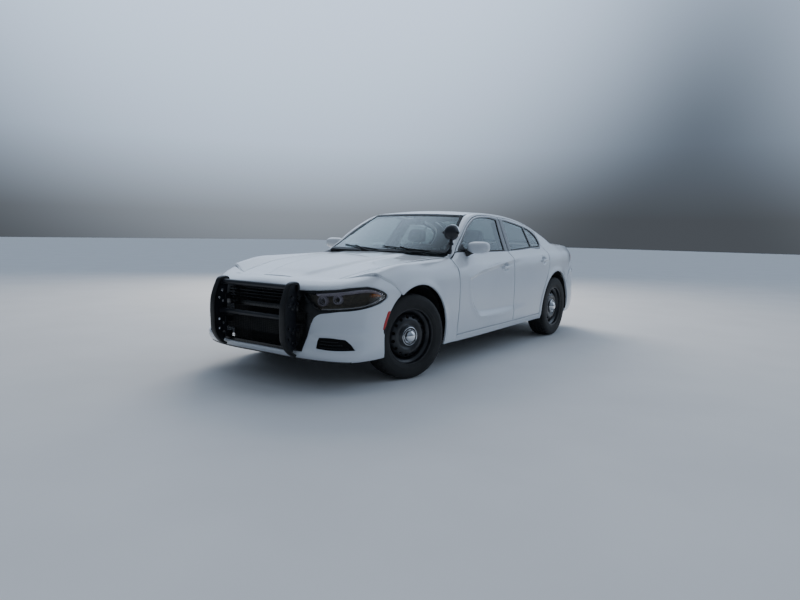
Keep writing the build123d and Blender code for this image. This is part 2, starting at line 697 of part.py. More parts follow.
rails = [slab([(-855, 500), (-300, 500), (492, 420), (492, 340), (-300, 400), (-855, 400)], sign * 390, sign * 450)
         for sign in (1, -1)]
with BuildPart() as front_frame:
    for rail in rails:
        add(rail)
    for sign in (1, -1):
        # lower arms to the ball joints
        with Locations((sign * 545, Y(20), 205)):
            Box(310, 60, 26)
        with Locations((sign * 545, Y(-120), 205)):
            Box(60, 60, 26)
        with BuildSketch(level(192)):
            with BuildLine():
                Polyline((sign * 730, -24), (sign * 730, 24), (sign * 420, 200), (sign * 420, -160), close=True)
            make_face()
        extrude(amount=26)
    with Locations((0, Y(60), 240)):
        Box(880, 380, 90)
    for sign in (1, -1):
        with Locations((sign * 420, Y(60), 330)):
            Box(60, 120, 200)
    # radiator support and crash beam
    with Locations((0, Y(-780), 470)):
        Box(900, 30, 520)
    with Locations((0, Y(-830), 450)):
        Box(1040, 60, 110)
save(front_frame, "front_frame")

with BuildPart() as engine_block:
    with Locations((0, Y(-60), 560)):
        Box(560, 640, 480)
    with Locations((0, Y(370), 400)):
        Box(260, 240, 240)
save(engine_block, "engine_block")

with BuildPart() as fuel_tank:
    with Locations((330, Y(2460), 235), (-330, Y(2460), 235)):
        Box(420, 340, 90)
    with Locations((0, Y(2460), 268)):
        Box(300, 340, 24)
save(fuel_tank, "fuel_tank")

with BuildPart() as exhaust:
    for sign in (1, -1):
        with BuildLine():
            FilletPolyline((sign * 60, Y(740), 215), (sign * 60, Y(3300), 215), (sign * 500, Y(3450), 285),
                           (sign * 500, Y(3560), 285), radius=60)
        with BuildSketch(Plane(origin=(sign * 60, Y(740), 215), x_dir=(1, 0, 0), z_dir=(0, 1, 0))):
            Circle(24)
        sweep()
        with Locations((sign * 560, Y(3720), 290)):
            Box(260, 420, 150)
        with BuildSketch(Plane(origin=(sign * 600, Y(3900), 285), x_dir=(1, 0, 0), z_dir=(0, 1, 0))):
            Circle(40)
        extrude(amount=205)
save(exhaust, "exhaust")

# ---------------------------------------------------------------- cabin
with BuildPart() as dashboard:
    with BuildSketch(side(-680)):
        with BuildLine():
            Polyline((720, 700), (690, 940), (760, 985), (960, 960), (1030, 880), (1000, 760), (900, 640), close=True)
        make_face()
    extrude(amount=1360)
    # centre console
    with Locations((0, Y(1250), 470)):
        Box(220, 760, 180)
    with Locations((0, Y(950), 600)):
        Box(220, 160, 300)
save(dashboard, "dashboard")

backs = [slab(points, sign * x0, sign * x1) for sign in (1, -1) for points, x0, x1 in (
    ([(1780, 380), (1900, 1080), (1830, 1100), (1650, 440)], 150, 630),
    ([(1870, 1110), (1940, 1280), (1860, 1290), (1800, 1130)], 270, 510),
    ([(1850, 1050), (1890, 1050), (1920, 1140), (1880, 1140)], 350, 430))]
with BuildPart() as front_seats:
    for back in backs:
        add(back)
    for sign in (1, -1):
        with Locations((sign * 390, Y(1560), 420)):
            Box(480, 520, 150)
        with Locations((sign * 390, Y(1560), 300)):
            Box(400, 420, 110)
save(front_seats, "front_seats")

with BuildPart() as rear_seat:
    with BuildSketch(side(-592)):
        with BuildLine():
            Polyline((2170, 345), (2170, 560), (2560, 520), (2680, 1010), (2735, 1010), (2650, 500), (2500, 345),
                     close=True)
        make_face()
    extrude(amount=1184)
save(rear_seat, "rear_seat")

# steering wheel: rim, hub and spokes, turned as far as the road wheels ask
COLUMN = Plane(origin=(390, Y(1120), 880), x_dir=(1, 0, 0), z_dir=(0, math.cos(math.radians(24)), math.sin(math.radians(24))))
with BuildPart() as steering_wheel:
    with BuildSketch(COLUMN):
        Circle(188)
        Circle(158, mode=Mode.SUBTRACT)
    extrude(amount=15, both=True)
    with BuildSketch(COLUMN):
        Circle(66)
    extrude(amount=22, both=True)
    with BuildSketch(COLUMN):
        with Locations(Rotation(0, 0, STEER_REST * STEER_RATIO)):
            Rectangle(330, 34)
            with Locations((0, -80)):
                Rectangle(34, 160)
    extrude(amount=8, both=True)
    with BuildSketch(COLUMN.offset(-22)):
        Circle(30)
    extrude(amount=-60)
save(steering_wheel, "steering_wheel")

# ---------------------------------------------------------------- mirrors, spotlight, push bumper
foot = slab([(925, 1026), (1030, 1026), (1040, 1064), (960, 1066)], 812, 880)
skin = lofted([r for r in CABIN if 700 < r[0] < 1400], [(-1, 0)] * 7 + [(0, 0)])
with BuildPart() as mirror_left:
    for x, s0, s1, z0, z1 in ((868, 985, 1050, 1050, 1150), (1036, 1000, 1058, 1046, 1156)):
        with BuildSketch(side(x)):
            with BuildLine():
                Polyline((s0, z0 + 30), (s1, z0), (s1, z1), (s0 + 10, z1 - 16), close=True)
            make_face()
    loft(ruled=True)
    add(foot)
    add(skin, mode=Mode.SUBTRACT)
save(mirror_left, "mirror_left")
with BuildPart() as mirror_right:
    add(mirror_left.part)
    mirror(about=Plane.YZ, mode=Mode.REPLACE)
save(mirror_right, "mirror_right")

bracket = slab([(640, 1160), (660, 1200), (700, 1200), (760, 1090), (740, 1060)], 770, 800)
with BuildPart() as spotlight:
    with BuildSketch(Plane(origin=(845, Y(578), 1235), x_dir=(1, 0, 0), z_dir=(0, 1, 0))):
        Circle(40)
    with BuildSketch(Plane(origin=(845, Y(612), 1235), x_dir=(1, 0, 0), z_dir=(0, 1, 0))):
        Circle(72)
    loft(ruled=True)
    with BuildSketch(Plane(origin=(845, Y(612), 1235), x_dir=(1, 0, 0), z_dir=(0, 1, 0))):
        Circle(72)
    extrude(amount=50)
    add(bracket)
save(spotlight, "spotlight")

PLATE = [(-924, 835), (-985, 822), (-1040, 720), (-1062, 620), (-1050, 350), (-990, 290), (-938, 254), (-932, 304),
         (-905, 316), (-900, 700), (-902, 826)]
plates = [slab(PLATE, sign * 402, sign * 418) for sign in (1, -1)]
with BuildPart() as push_bumper:
    for plate in plates:
        add(plate)
    for s, z, r in ((-955, 790, 22), (-965, 552, 20)):
        with BuildSketch(side(-410)):
            with Locations((s, z)):
                Circle(r)
        extrude(amount=820)
save(push_bumper, "push_bumper")
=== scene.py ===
"""Looks of the patrol car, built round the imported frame. Metres; x is the car's left, s is metres behind the front axle, z is up."""
import math

import bmesh
import bpy
import numpy as np
from mathutils import Matrix, Vector
from mathutils.geometry import delaunay_2d_cdt


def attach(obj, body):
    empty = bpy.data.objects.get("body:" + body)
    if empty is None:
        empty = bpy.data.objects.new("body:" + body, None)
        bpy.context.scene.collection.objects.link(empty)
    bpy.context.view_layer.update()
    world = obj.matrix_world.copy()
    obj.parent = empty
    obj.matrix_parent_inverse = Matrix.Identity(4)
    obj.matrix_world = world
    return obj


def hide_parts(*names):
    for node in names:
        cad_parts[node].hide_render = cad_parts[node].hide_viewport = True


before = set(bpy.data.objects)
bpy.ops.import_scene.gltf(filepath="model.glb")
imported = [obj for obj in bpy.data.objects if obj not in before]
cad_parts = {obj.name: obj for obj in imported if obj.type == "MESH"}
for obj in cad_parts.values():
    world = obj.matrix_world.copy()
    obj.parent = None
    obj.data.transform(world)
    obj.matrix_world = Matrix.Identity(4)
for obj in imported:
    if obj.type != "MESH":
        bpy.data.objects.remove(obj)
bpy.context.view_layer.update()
MID = 1.5255


# ---------------------------------------------------------------- materials
def nodes_of(name):
    m = bpy.data.materials.new(name)
    m.use_nodes = True
    nt = m.node_tree
    return m, nt, nt.nodes["Principled BSDF"]


def mat(name, a, b, scale=6.0, rough=(0.4, 0.5), metal=0.0, bump=0.0, bump_scale=200.0, detail=3.0, **sockets):
    """Procedural finish: two tints mixed by noise, roughness wander and a fine bump."""
    m, nt, p = nodes_of(name)
    tc = nt.nodes.new("ShaderNodeTexCoord")
    n = nt.nodes.new("ShaderNodeTexNoise")
    n.inputs["Scale"].default_value = scale
    n.inputs["Detail"].default_value = detail
    nt.links.new(tc.outputs["Object"], n.inputs["Vector"])
    ramp = nt.nodes.new("ShaderNodeValToRGB")
    ramp.color_ramp.elements[0].position, ramp.color_ramp.elements[1].position = 0.35, 0.65
    ramp.color_ramp.elements[0].color, ramp.color_ramp.elements[1].color = (*a, 1), (*b, 1)
    nt.links.new(n.outputs["Fac"], ramp.inputs["Fac"])
    nt.links.new(ramp.outputs["Color"], p.inputs["Base Color"])
    rr = nt.nodes.new("ShaderNodeMapRange")
    rr.inputs["To Min"].default_value, rr.inputs["To Max"].default_value = rough
    nt.links.new(n.outputs["Fac"], rr.inputs["Value"])
    nt.links.new(rr.outputs["Result"], p.inputs["Roughness"])
    p.inputs["Metallic"].default_value = metal
    if bump:
        n2 = nt.nodes.new("ShaderNodeTexNoise")
        n2.inputs["Scale"].default_value = bump_scale
        n2.inputs["Detail"].default_value = 2.0
        nt.links.new(tc.outputs["Object"], n2.inputs["Vector"])
        bp = nt.nodes.new("ShaderNodeBump")
        bp.inputs["Strength"].default_value = bump
        bp.inputs["Distance"].default_value = 0.001
        nt.links.new(n2.outputs["Fac"], bp.inputs["Height"])
        nt.links.new(bp.outputs["Normal"], p.inputs["Normal"])
    for k, v in sockets.items():
        p.inputs[k.replace("_", " ")].default_value = v
    return m


# The white paint is tinted blue to stand in for the blue of sky-lit shade on the body: painted shade colour.
PAINT = mat("white_paint", (0.70, 0.735, 0.785), (0.745, 0.775, 0.815), 2.0, (0.26, 0.32), 0.0, 0.02, 600,
            Coat_Weight=1.0, Coat_Roughness=0.03, IOR=1.5)
# Greyer copy of the white paint for the lower centre pillars behind the door edges: painted shade of the door gaps.
JAMB = mat("paint_inside", (0.52, 0.55, 0.59), (0.60, 0.63, 0.66), 8.0, (0.4, 0.55), bump=0.05, bump_scale=300)
GLOSS = mat("gloss_black", (0.006, 0.006, 0.007), (0.013, 0.013, 0.015), 5.0, (0.08, 0.16), Coat_Weight=0.5,
            Coat_Roughness=0.05)
PLAST = mat("black_plastic", (0.010, 0.010, 0.011), (0.022, 0.022, 0.023), 14.0, (0.42, 0.6), bump=0.35, bump_scale=900)
BAR = mat("powder_coat_black", (0.008, 0.009, 0.012), (0.016, 0.017, 0.022), 10.0, (0.30, 0.42), bump=0.25,
          bump_scale=1200)
RUBBER = mat("tyre_rubber", (0.010, 0.010, 0.010), (0.024, 0.023, 0.022), 9.0, (0.62, 0.85), bump=0.4, bump_scale=500)
SEAL = mat("rubber_seal", (0.004, 0.004, 0.004), (0.009, 0.009, 0.009), 20.0, (0.42, 0.6), bump=0.2, bump_scale=800)
STEEL = mat("black_wheel_steel", (0.010, 0.011, 0.013), (0.024, 0.025, 0.028), 12.0, (0.26, 0.42), 0.2, 0.15, 500,
            Coat_Weight=0.4, Coat_Roughness=0.2)
CHROME = mat("chrome", (0.80, 0.81, 0.83), (0.90, 0.91, 0.92), 8.0, (0.04, 0.10), 1.0)
ALU = mat("bare_metal", (0.35, 0.36, 0.37), (0.5, 0.5, 0.5), 25.0, (0.3, 0.45), 1.0, 0.2, 400)
IRON = mat("cast_iron", (0.09, 0.08, 0.075), (0.17, 0.155, 0.145), 30.0, (0.5, 0.75), 0.8, 0.5, 250)
UNDER = mat("under_coating", (0.022, 0.022, 0.023), (0.045, 0.043, 0.040), 12.0, (0.65, 0.9), bump=0.6, bump_scale=220)
PIPE = mat("exhaust_steel", (0.24, 0.22, 0.20), (0.42, 0.40, 0.38), 7.0, (0.25, 0.5), 1.0, 0.2, 300)
TRIM = mat("dash_plastic", (0.017, 0.018, 0.020), (0.030, 0.031, 0.034), 9.0, (0.5, 0.68), bump=0.5, bump_scale=1500)
CARPET = mat("carpet", (0.014, 0.014, 0.015), (0.045, 0.045, 0.047), 320.0, (0.85, 1.0), bump=1.0, bump_scale=700)
LINING = mat("roof_lining", (0.25, 0.25, 0.25), (0.32, 0.32, 0.31), 160.0, (0.85, 0.98), bump=0.5, bump_scale=800)
FABRIC = mat("seat_cloth", (0.018, 0.019, 0.022), (0.050, 0.052, 0.058), 420.0, (0.8, 0.95), bump=0.8, bump_scale=900,
             Sheen_Weight=0.3)
VINYL = mat("seat_vinyl", (0.020, 0.020, 0.022), (0.034, 0.034, 0.037), 30.0, (0.42, 0.55), bump=0.5, bump_scale=500)
RED = mat("red_lens", (0.17, 0.004, 0.004), (0.23, 0.007, 0.006), 6.0, (0.08, 0.15), Coat_Weight=0.6)
AMBER = mat("amber_lens", (0.80, 0.24, 0.02), (0.90, 0.30, 0.03), 6.0, (0.1, 0.15), Coat_Weight=0.6)
PLATE_M = mat("blank_plate", (0.66, 0.67, 0.68), (0.74, 0.75, 0.76), 12.0, (0.3, 0.4), bump=0.05)


def glass_mat(name, tint, rough=0.0, alpha=None):
    m, nt, p = nodes_of(name)
    tc = nt.nodes.new("ShaderNodeTexCoord")
    n = nt.nodes.new("ShaderNodeTexNoise")
    n.inputs["Scale"].default_value = 1.5
    nt.links.new(tc.outputs["Object"], n.inputs["Vector"])
    ramp = nt.nodes.new("ShaderNodeValToRGB")
    ramp.color_ramp.elements[0].color = (*[c * 0.97 for c in tint], 1)
    ramp.color_ramp.elements[1].color = (*tint, 1)
    nt.links.new(n.outputs["Fac"], ramp.inputs["Fac"])
    nt.links.new(ramp.outputs["Color"], p.inputs["Base Color"])
    p.inputs["Roughness"].default_value = rough
    p.inputs["Transmission Weight"].default_value = 1.0
    p.inputs["IOR"].default_value = 1.45
    if alpha is not None:
        p.inputs["Alpha"].default_value = alpha
    return m


GLASS = glass_mat("tinted_glass", (0.56, 0.68, 0.69))
# Near-black finish, darker than the real black plastics, for the grille mesh, radiator core, fog pockets and exhaust
# mouths: their own black plus painted shade of the openings they sit in.
SHADE_BLACK = mat("unlit_black", (0.0015, 0.0015, 0.0015), (0.004, 0.004, 0.004), 30.0, (0.75, 0.95), bump=0.2, bump_scale=600)
# Bowl and brow tints are raised to stand in for the light that the lens keeps from the lamp's inside: painted light.
BOWL = mat("lamp_bowl", (0.20, 0.175, 0.125), (0.32, 0.285, 0.205), 40.0, (0.3, 0.45), 0.2)
BROW = mat("lamp_brow", (0.62, 0.57, 0.64), (0.74, 0.69, 0.76), 30.0, (0.25, 0.35), 0.2)
CLEAR = glass_mat("clear_lens", (0.95, 0.96, 0.97))
SMOKE = glass_mat("smoked_lens", (0.26, 0.24, 0.25), alpha=0.42)
REDGLASS = glass_mat("red_clear_lens", (0.75, 0.02, 0.02))

# ---------------------------------------------------------------- meshes
ALL = []


def face_out(v, faces):
    """Closed islands with their faces inside out are turned the right way round."""
    v = np.asarray(v, float)
    faces = [tuple(int(i) for i in f) for f in faces]
    parent = np.arange(len(v))

    def root(i):
        while parent[i] != i:
            parent[i] = parent[parent[i]]
            i = parent[i]
        return i

    for f in faces:
        r = root(f[0])
        for i in f[1:]:
            q = root(i)
            if q != r:
                parent[q] = r
    owner = [root(f[0]) for f in faces]
    seen, vol = {}, {}
    for f, r in zip(faces, owner):
        p = v[list(f)]
        p = p - v[r]
        c = np.cross(p[1:-1], p[2:])
        vol[r] = vol.get(r, 0.0) + float((c @ p[0]).sum())
        for a_, b_ in zip(f, f[1:] + f[:1]):
            k = (a_, b_) if a_ < b_ else (b_, a_)
            seen[k] = seen.get(k, 0) + 1
    open_ = {root(k[0]) for k, n in seen.items() if n != 2}
    return [f[::-1] if vol[r] < 0 and r not in open_ else f for f, r in zip(faces, owner)]


def make(name, verts, faces, material, body="root", slot=None, stands_for=(), sharp=35, in_s=True):
    v = np.array(verts, float)
    if in_s:
        v = v - np.array([0, MID, 0])
    me = bpy.data.meshes.new(name)
    me.from_pydata([tuple(p) for p in v], [], face_out(v, faces))
    me.validate()
    me.shade_smooth()
    me.set_sharp_from_angle(angle=math.radians(sharp))
    ob = bpy.data.objects.new(name, me)
    bpy.context.scene.collection.objects.link(ob)
    for m in material if isinstance(material, (list, tuple)) else [material]:
        me.materials.append(m)
    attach(ob, body)
    if stands_for:
        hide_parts(*([stands_for] if isinstance(stands_for, str) else stands_for))
    ALL.append(ob)
    return ob


def bits(pieces):
    """Several (verts, faces) joined into one."""
    V, F, n = [], [], 0
    for v, f in pieces:
        V.append(np.asarray(v, float))
        F += [tuple(int(i) + n for i in face) for face in f]
        n += len(v)
    return np.concatenate(V), F


def flip_x(vf):
    v, f = vf
    v = np.array(v, float)
    v[:, 0] *= -1
    return v, [tuple(reversed(face)) for face in f]


def spline(xs, ys):
    """Smooth curve through rows of values, straight beyond its ends."""
    xs, ys = np.asarray(xs, float), np.asarray(ys, float)
    h = np.diff(xs)
    d = np.diff(ys, axis=0) / h[:, None]
    m = np.empty_like(ys)
    m[0], m[-1] = d[0], d[-1]
    for i in range(1, len(xs) - 1):
        m[i] = (d[i - 1] * h[i] + d[i] * h[i - 1]) / (h[i - 1] + h[i])

    def f(x):
        x = np.atleast_1d(np.asarray(x, float))
        i = np.clip(np.searchsorted(xs, x) - 1, 0, len(xs) - 2)
        t = (x - xs[i]) / h[i]
        c = np.clip(t, 0, 1)[:, None]
        H = h[i][:, None]
        p = ((2 * c**3 - 3 * c**2 + 1) * ys[i] + (c**3 - 2 * c**2 + c) * H * m[i]
             + (3 * c**2 - 2 * c**3) * ys[i + 1] + (c**3 - c**2) * H * m[i + 1])
        return p + (t[:, None] - c) * H * np.where((t < 0)[:, None], m[0], m[-1])

    return f


def trace(points, step=0.012, closed=False, smooth=True):
    """Curve through points, sampled about every step; a None between points makes a corner of the point before it."""
    runs, run = [], []
    for p in points:
        if p is None:
            runs.append(run)
            run = [run[-1]]
        else:
            run.append(p)
    runs.append(run)
    out = []
    for run in runs:
        if len(run) < 2:
            continue
        a = np.array(run, float)
        d = np.linalg.norm(np.diff(a, axis=0), axis=1)
        k = np.concatenate([[0], np.cumsum(d)])
        n = max(2, int(round(k[-1] / step)) + 1)
        q = np.linspace(0, k[-1], n)
        if smooth and len(run) > 2:
            s = spline(k, a)(q)
        else:
            s = np.stack([np.interp(q, k, a[:, j]) for j in range(a.shape[1])], 1)
        out.append(s if not out else s[1:])
    s = np.concatenate(out)
    if closed and np.linalg.norm(s[0] - s[-1]) < 1e-6:
        s = s[:-1]
    return s


class Net:
    """Skin from rows of control points, side to middle; each column's corner is rounded by its weight, 0 to .5."""

    def __init__(self, keys, grid, soft, through_middle=True, feature=None):
        g = np.array(grid, float)
        self.soft = np.array(list(soft) + [0.0])
        self.feature = feature
        if through_middle:
            g[:, -1, 1:] = (g[:, -1, 1:] - 0.25 * g[:, -2, 1:]) / 0.75
        m = g[:, -2].copy()
        m[:, 0] *= -1
        g = np.concatenate([g, m[:, None]], 1)
        self.T = g.shape[1] - 2
        self.C = g.shape[1]
        self.keys = np.array(keys, float)
        self.f = spline(self.keys, g.reshape(len(g), -1))
        lens = np.linalg.norm(np.diff(g[:, :-1], axis=1), axis=2).mean(0)
        w = np.concatenate([[0], np.cumsum(lens)])
        self.tt = np.concatenate([np.arange(self.T + 1), self.T + np.arange(1, self.T + 1)]).astype(float)
        self.ww = np.concatenate([w, w[-1] + np.cumsum(lens[::-1])])

    def raw(self, v, t):
        v, t = np.asarray(v, float), np.asarray(t, float)
        neg = t > self.T
        t = np.clip(np.where(neg, 2 * self.T - t, t), 0, self.T)
        P = self.f(v).reshape(len(v), self.C, 3)
        r = np.arange(len(v))

        def line(u):
            k = np.clip(np.floor(u).astype(int), 0, self.C - 2)
            q = (u - k)[:, None]
            return P[r, k] * (1 - q) + P[r, k + 1] * q

        i = np.clip(np.round(t).astype(int), 0, self.C - 1)
        w = self.soft[i]
        d = t - i
        out = line(t)
        near = (np.abs(d) < w) & (w > 0)
        ws = np.where(w > 0, w, 1)
        q = ((d + ws) / (2 * ws))[:, None]
        bez = (1 - q) ** 2 * line(i - ws) + 2 * q * (1 - q) * P[r, i] + q**2 * line(i + ws)
        out = np.where(near[:, None], bez, out)
        out[:, 0] = np.where(neg, -out[:, 0], out[:, 0])
        return out

    def pos(self, ab):
        ab = np.asarray(ab, float)
        p = self.raw(ab[:, 0], np.interp(ab[:, 1], self.ww, self.tt))
        return self.feature(p) if self.feature else p

    def find(self, axes, pts, t=(0, None), v=None):
        """Skin coordinates whose two named axes of (x, s, z) have these values, between columns t."""
        k = ["xsz".index(c) for c in axes]
        hi = self.T if t[1] is None else t[1]
        v0, v1 = v or (self.keys[0], self.keys[-1])
        gv, gt = np.meshgrid(np.linspace(v0, v1, 120), np.linspace(t[0], hi, 90), indexing="ij")
        a = np.stack([gv.ravel(), np.interp(gt.ravel(), self.tt, self.ww)], 1)
        p = self.pos(a)[:, k]
        pts = np.asarray(pts, float)
        best = np.array([np.argmin(((p - q) ** 2).sum(1)) for q in pts])
        u = a[best].copy()
        lo = np.array([v0 - 0.06, np.interp(t[0], self.tt, self.ww)])
        up = np.array([v1 + 0.06, np.interp(hi, self.tt, self.ww)])
        for _ in range(12):
            e = 1e-4
            f0 = self.pos(u)[:, k] - pts
            ja = (self.pos(u + [e, 0])[:, k] - pts - f0) / e
            jb = (self.pos(u + [0, e])[:, k] - pts - f0) / e
            det = ja[:, 0] * jb[:, 1] - ja[:, 1] * jb[:, 0]
            det = np.where(np.abs(det) < 1e-3, np.sign(det + 1e-12) * 1e-3, det)
            da = (f0[:, 0] * jb[:, 1] - f0[:, 1] * jb[:, 0]) / det
            db = (ja[:, 0] * f0[:, 1] - ja[:, 1] * f0[:, 0]) / det
            step = np.clip(np.stack([da, db], 1), -0.03, 0.03)
            u = np.clip(u - step, lo, up)
        return u

    def normal(self, ab):
        e = 5e-4
        ab = np.asarray(ab, float)
        a = self.pos(ab + [e, 0]) - self.pos(ab - [e, 0])
        b = self.pos(ab + [0, e]) - self.pos(ab - [0, e])
        n = np.cross(a, b)
        return n / np.maximum(np.linalg.norm(n, axis=1, keepdims=True), 1e-12)


class Sheet:
    """Skin given by a function of two coordinates in metres."""

    def __init__(self, fn):
        self.fn = fn

    def pos(self, ab):
        return self.fn(np.asarray(ab, float))

    normal = Net.normal


def route(net, *runs, step=0.012):
    """Closed outline in skin coordinates. A run is (axes, points[, (t low, t high)]) or ("ab", points)."""
    out = []
    for run in runs:
        axes, pts = run[0], run[1]
        tr = trace(pts, step)
        if axes != "ab":
            tr = net.find(axes, tr, *(run[2:3] or [(0, None)]))
        out.append(tr)
    p = np.concatenate(out)
    keep = [0]
    for i in range(1, len(p)):
        if np.linalg.norm(p[i] - p[keep[-1]]) > step * 0.35:
            keep.append(i)
    p = p[keep]
    if np.linalg.norm(p[0] - p[-1]) < step * 0.35:
        p = p[:-1]
    return p


def area(p):
    return 0.5 * np.sum(p[:, 0] * np.roll(p[:, 1], -1) - np.roll(p[:, 0], -1) * p[:, 1])


def inside(pts, loop):
    x, y = pts[:, 0], pts[:, 1]
    c = np.zeros(len(pts), bool)
    a, b = loop, np.roll(loop, -1, 0)
    for (x0, y0), (x1, y1) in zip(a, b):
        if y0 == y1:
            continue
        hit = (y0 > y) != (y1 > y)
        c ^= hit & (x < (x1 - x0) * (y - y0) / (y1 - y0) + x0)
    return c


def tidy(loop, tol=0.0012):
    """Closed loop without points on top of one another."""
    keep = [loop[0]]
    for p in loop[1:]:
        if np.linalg.norm(p - keep[-1]) > tol:
            keep.append(p)
    while len(keep) > 3 and np.linalg.norm(keep[-1] - keep[0]) <= tol:
        keep.pop()
    return np.array(keep)


def shrink(loop, d):
    """Loop moved to the left of its direction by d."""
    e = np.roll(loop, -1, 0) - loop
    e /= np.maximum(np.linalg.norm(e, axis=1, keepdims=True), 1e-12)
    n = np.stack([-e[:, 1], e[:, 0]], 1)
    m = n + np.roll(n, 1, 0)
    m /= np.maximum((m * m).sum(1, keepdims=True), 0.6) / 2
    return loop + m * d


def round_corners(loop, r, limit=25):
    """Softens sharp corners of a sampled loop over about r metres."""
    if r <= 0:
        return loop
    out = []
    n = len(loop)
    for i in range(n):
        p, q, s = loop[i - 1], loop[i], loop[(i + 1) % n]
        a, b = q - p, s - q
        la, lb = np.linalg.norm(a), np.linalg.norm(b)
        ang = math.degrees(math.acos(np.clip(a @ b / max(la * lb, 1e-12), -1, 1)))
        if ang > limit:
            c = min(r, 0.49 * la), min(r, 0.49 * lb)
            A, B = q - a / la * c[0], q + b / lb * c[1]
            for k in (0.0, 0.33, 0.67, 1.0):
                out.append((1 - k) ** 2 * A + 2 * k * (1 - k) * q + k * k * B)
        else:
            out.append(q)
    return np.array(out)


def near_dist(pts, loop):
    d = np.full(len(pts), 9.0)
    a, b = loop, np.roll(loop, -1, 0)
    for i in range(0, len(a), 200):
        A, B = a[i:i + 200], b[i:i + 200]
        ab = B - A
        t = ((pts[:, None] - A) * ab).sum(2) / np.maximum((ab * ab).sum(1), 1e-12)
        c = A + np.clip(t, 0, 1)[..., None] * ab
        d = np.minimum(d, np.linalg.norm(pts[:, None] - c, axis=2).min(1))
    return d


def skin_mesh(net, outer, holes=(), step=0.016, lines=(), hem=0.003, deep=0.014, out=1, lift=0.0, corner=0.010,
              back=True):
    """Panel on a skin: outer face, rolled edge, side wall and back face. out is 1 or -1, the side that faces outwards."""
    outer, holes = tidy(outer), [tidy(h) for h in holes]
    loops = [outer if area(outer) > 0 else outer[::-1]] + [h if area(h) < 0 else h[::-1] for h in holes]
    loops = [round_corners(lp, corner) for lp in loops]
    inner = [shrink(lp, hem) for lp in loops]
    lo, hi = loops[0].min(0), loops[0].max(0)
    nx, ny = int((hi[0] - lo[0]) / step) + 2, int((hi[1] - lo[1]) / (step * 0.866)) + 2
    gx, gy = np.meshgrid(np.arange(nx), np.arange(ny), indexing="ij")
    pts = np.stack([lo[0] + (gx + 0.5 * (gy % 2)).ravel() * step, lo[1] + gy.ravel() * step * 0.866], 1)
    ok = inside(pts, inner[0])
    for h in inner[1:]:
        ok &= ~inside(pts, h[::-1])
    pts = pts[ok]
    for lp in inner:
        pts = pts[near_dist(pts, lp) > step * 0.5]
    coords, edges, base = [], [], []
    for lp in inner:
        n0 = len(coords)
        coords += [tuple(p) for p in lp]
        edges += [(n0 + i, n0 + (i + 1) % len(lp)) for i in range(len(lp))]
        base.append((n0, len(lp)))
    for ln in lines:
        ln = ln[inside(ln, inner[0])]
        for lp in inner[1:]:
            ln = ln[~inside(ln, lp)]
        for lp in inner:
            ln = ln[near_dist(ln, lp) > step * 0.3]
        if len(ln) < 2:
            continue
        pts = pts[near_dist_open(pts, ln) > step * 0.35]
        n0 = len(coords)
        coords += [tuple(p) for p in ln]
        edges += [(n0 + i, n0 + i + 1) for i in range(len(ln) - 1)
                  if np.linalg.norm(ln[i + 1] - ln[i]) < step * 3]
    coords += [tuple(p) for p in pts]
    vo, _, fo, ov, _, _ = delaunay_2d_cdt([Vector(c) for c in coords], edges, [], 0, 1e-7)
    V = np.array([tuple(v) for v in vo])
    F = np.array([tuple(f) for f in fo if len(f) == 3])
    mid = V[F].mean(1)
    ok = inside(mid, inner[0])
    for lp in inner[1:]:
        ok &= ~inside(mid, lp)
    F = F[ok]
    a = V[F]
    sgn = np.cross(a[:, 1] - a[:, 0], a[:, 2] - a[:, 0])
    F = F[np.abs(sgn) > 1e-9]
    sgn = sgn[np.abs(sgn) > 1e-9]
    F[sgn < 0] = F[sgn < 0][:, ::-1]
    where = {}
    for i, src in enumerate(ov):
        for k in src:
            where[k] = i
    used = np.unique(F)
    remap = -np.ones(len(V), int)
    remap[used] = np.arange(len(used))
    V = V[used]
    F = remap[F]
    N = net.normal(V) * out
    P = net.pos(V) + N * lift
    verts, faces = [P], [tuple(f) if out > 0 else tuple(f[::-1]) for f in F]
    count = len(P)
    rings = []
    for (n0, n), lp, inn in zip(base, loops, inner):
        ids = [where[n0 + i] for i in range(n)]
        rid = [int(remap[i]) for i in ids]
        B = net.pos(inn)
        NB = net.normal(inn) * out
        O = net.pos(lp) - B
        O -= (O * NB).sum(1, keepdims=True) * NB
        L = np.maximum(np.linalg.norm(O, axis=1, keepdims=True), 1e-9)
        O = O / L
        L = np.minimum(L, hem * 2)
        B = B + NB * lift
        rows = [B + O * L * 0.71 - NB * hem * 0.29, B + O * L - NB * hem, B + O * L - NB * (hem + deep)]
        prev = rid
        for R in rows:
            cur = list(range(count, count + n))
            verts.append(R)
            count += n
            for i in range(n):
                j = (i + 1) % n
                f = (prev[i], cur[i], cur[j], prev[j])
                faces.append(f if out > 0 else f[::-1])
            prev = cur
        rings.append((prev, rid))
    if back:
        Bk = P - N * (hem + deep)
        n0 = count
        verts.append(Bk)
        count += len(Bk)
        faces += [tuple(n0 + i for i in (f[::-1] if out > 0 else f)) for f in F]
        for prev, rid in rings:
            n = len(prev)
            for i in range(n):
                j = (i + 1) % n
                f = (prev[i], n0 + rid[i], n0 + rid[j], prev[j])
                faces.append(f if out > 0 else f[::-1])
    return np.concatenate(verts), faces


def near_dist_open(pts, line):
    d = np.full(len(pts), 9.0)
    for i in range(len(line) - 1):
        A, ab = line[i], line[i + 1] - line[i]
        t = np.clip(((pts - A) @ ab) / max(ab @ ab, 1e-12), 0, 1)
        d = np.minimum(d, np.linalg.norm(pts - A - t[:, None] * ab, axis=1))
    return d


def pair(name, vf, material, left_body, right_body, slot=None, left_for=(), right_for=(), **kw):
    make(name + "_left", vf[0], vf[1], material, left_body, slot, left_for, **kw)
    v, f = flip_x(vf)
    make(name + "_right", v, f, material, right_body, slot, right_for, **kw)


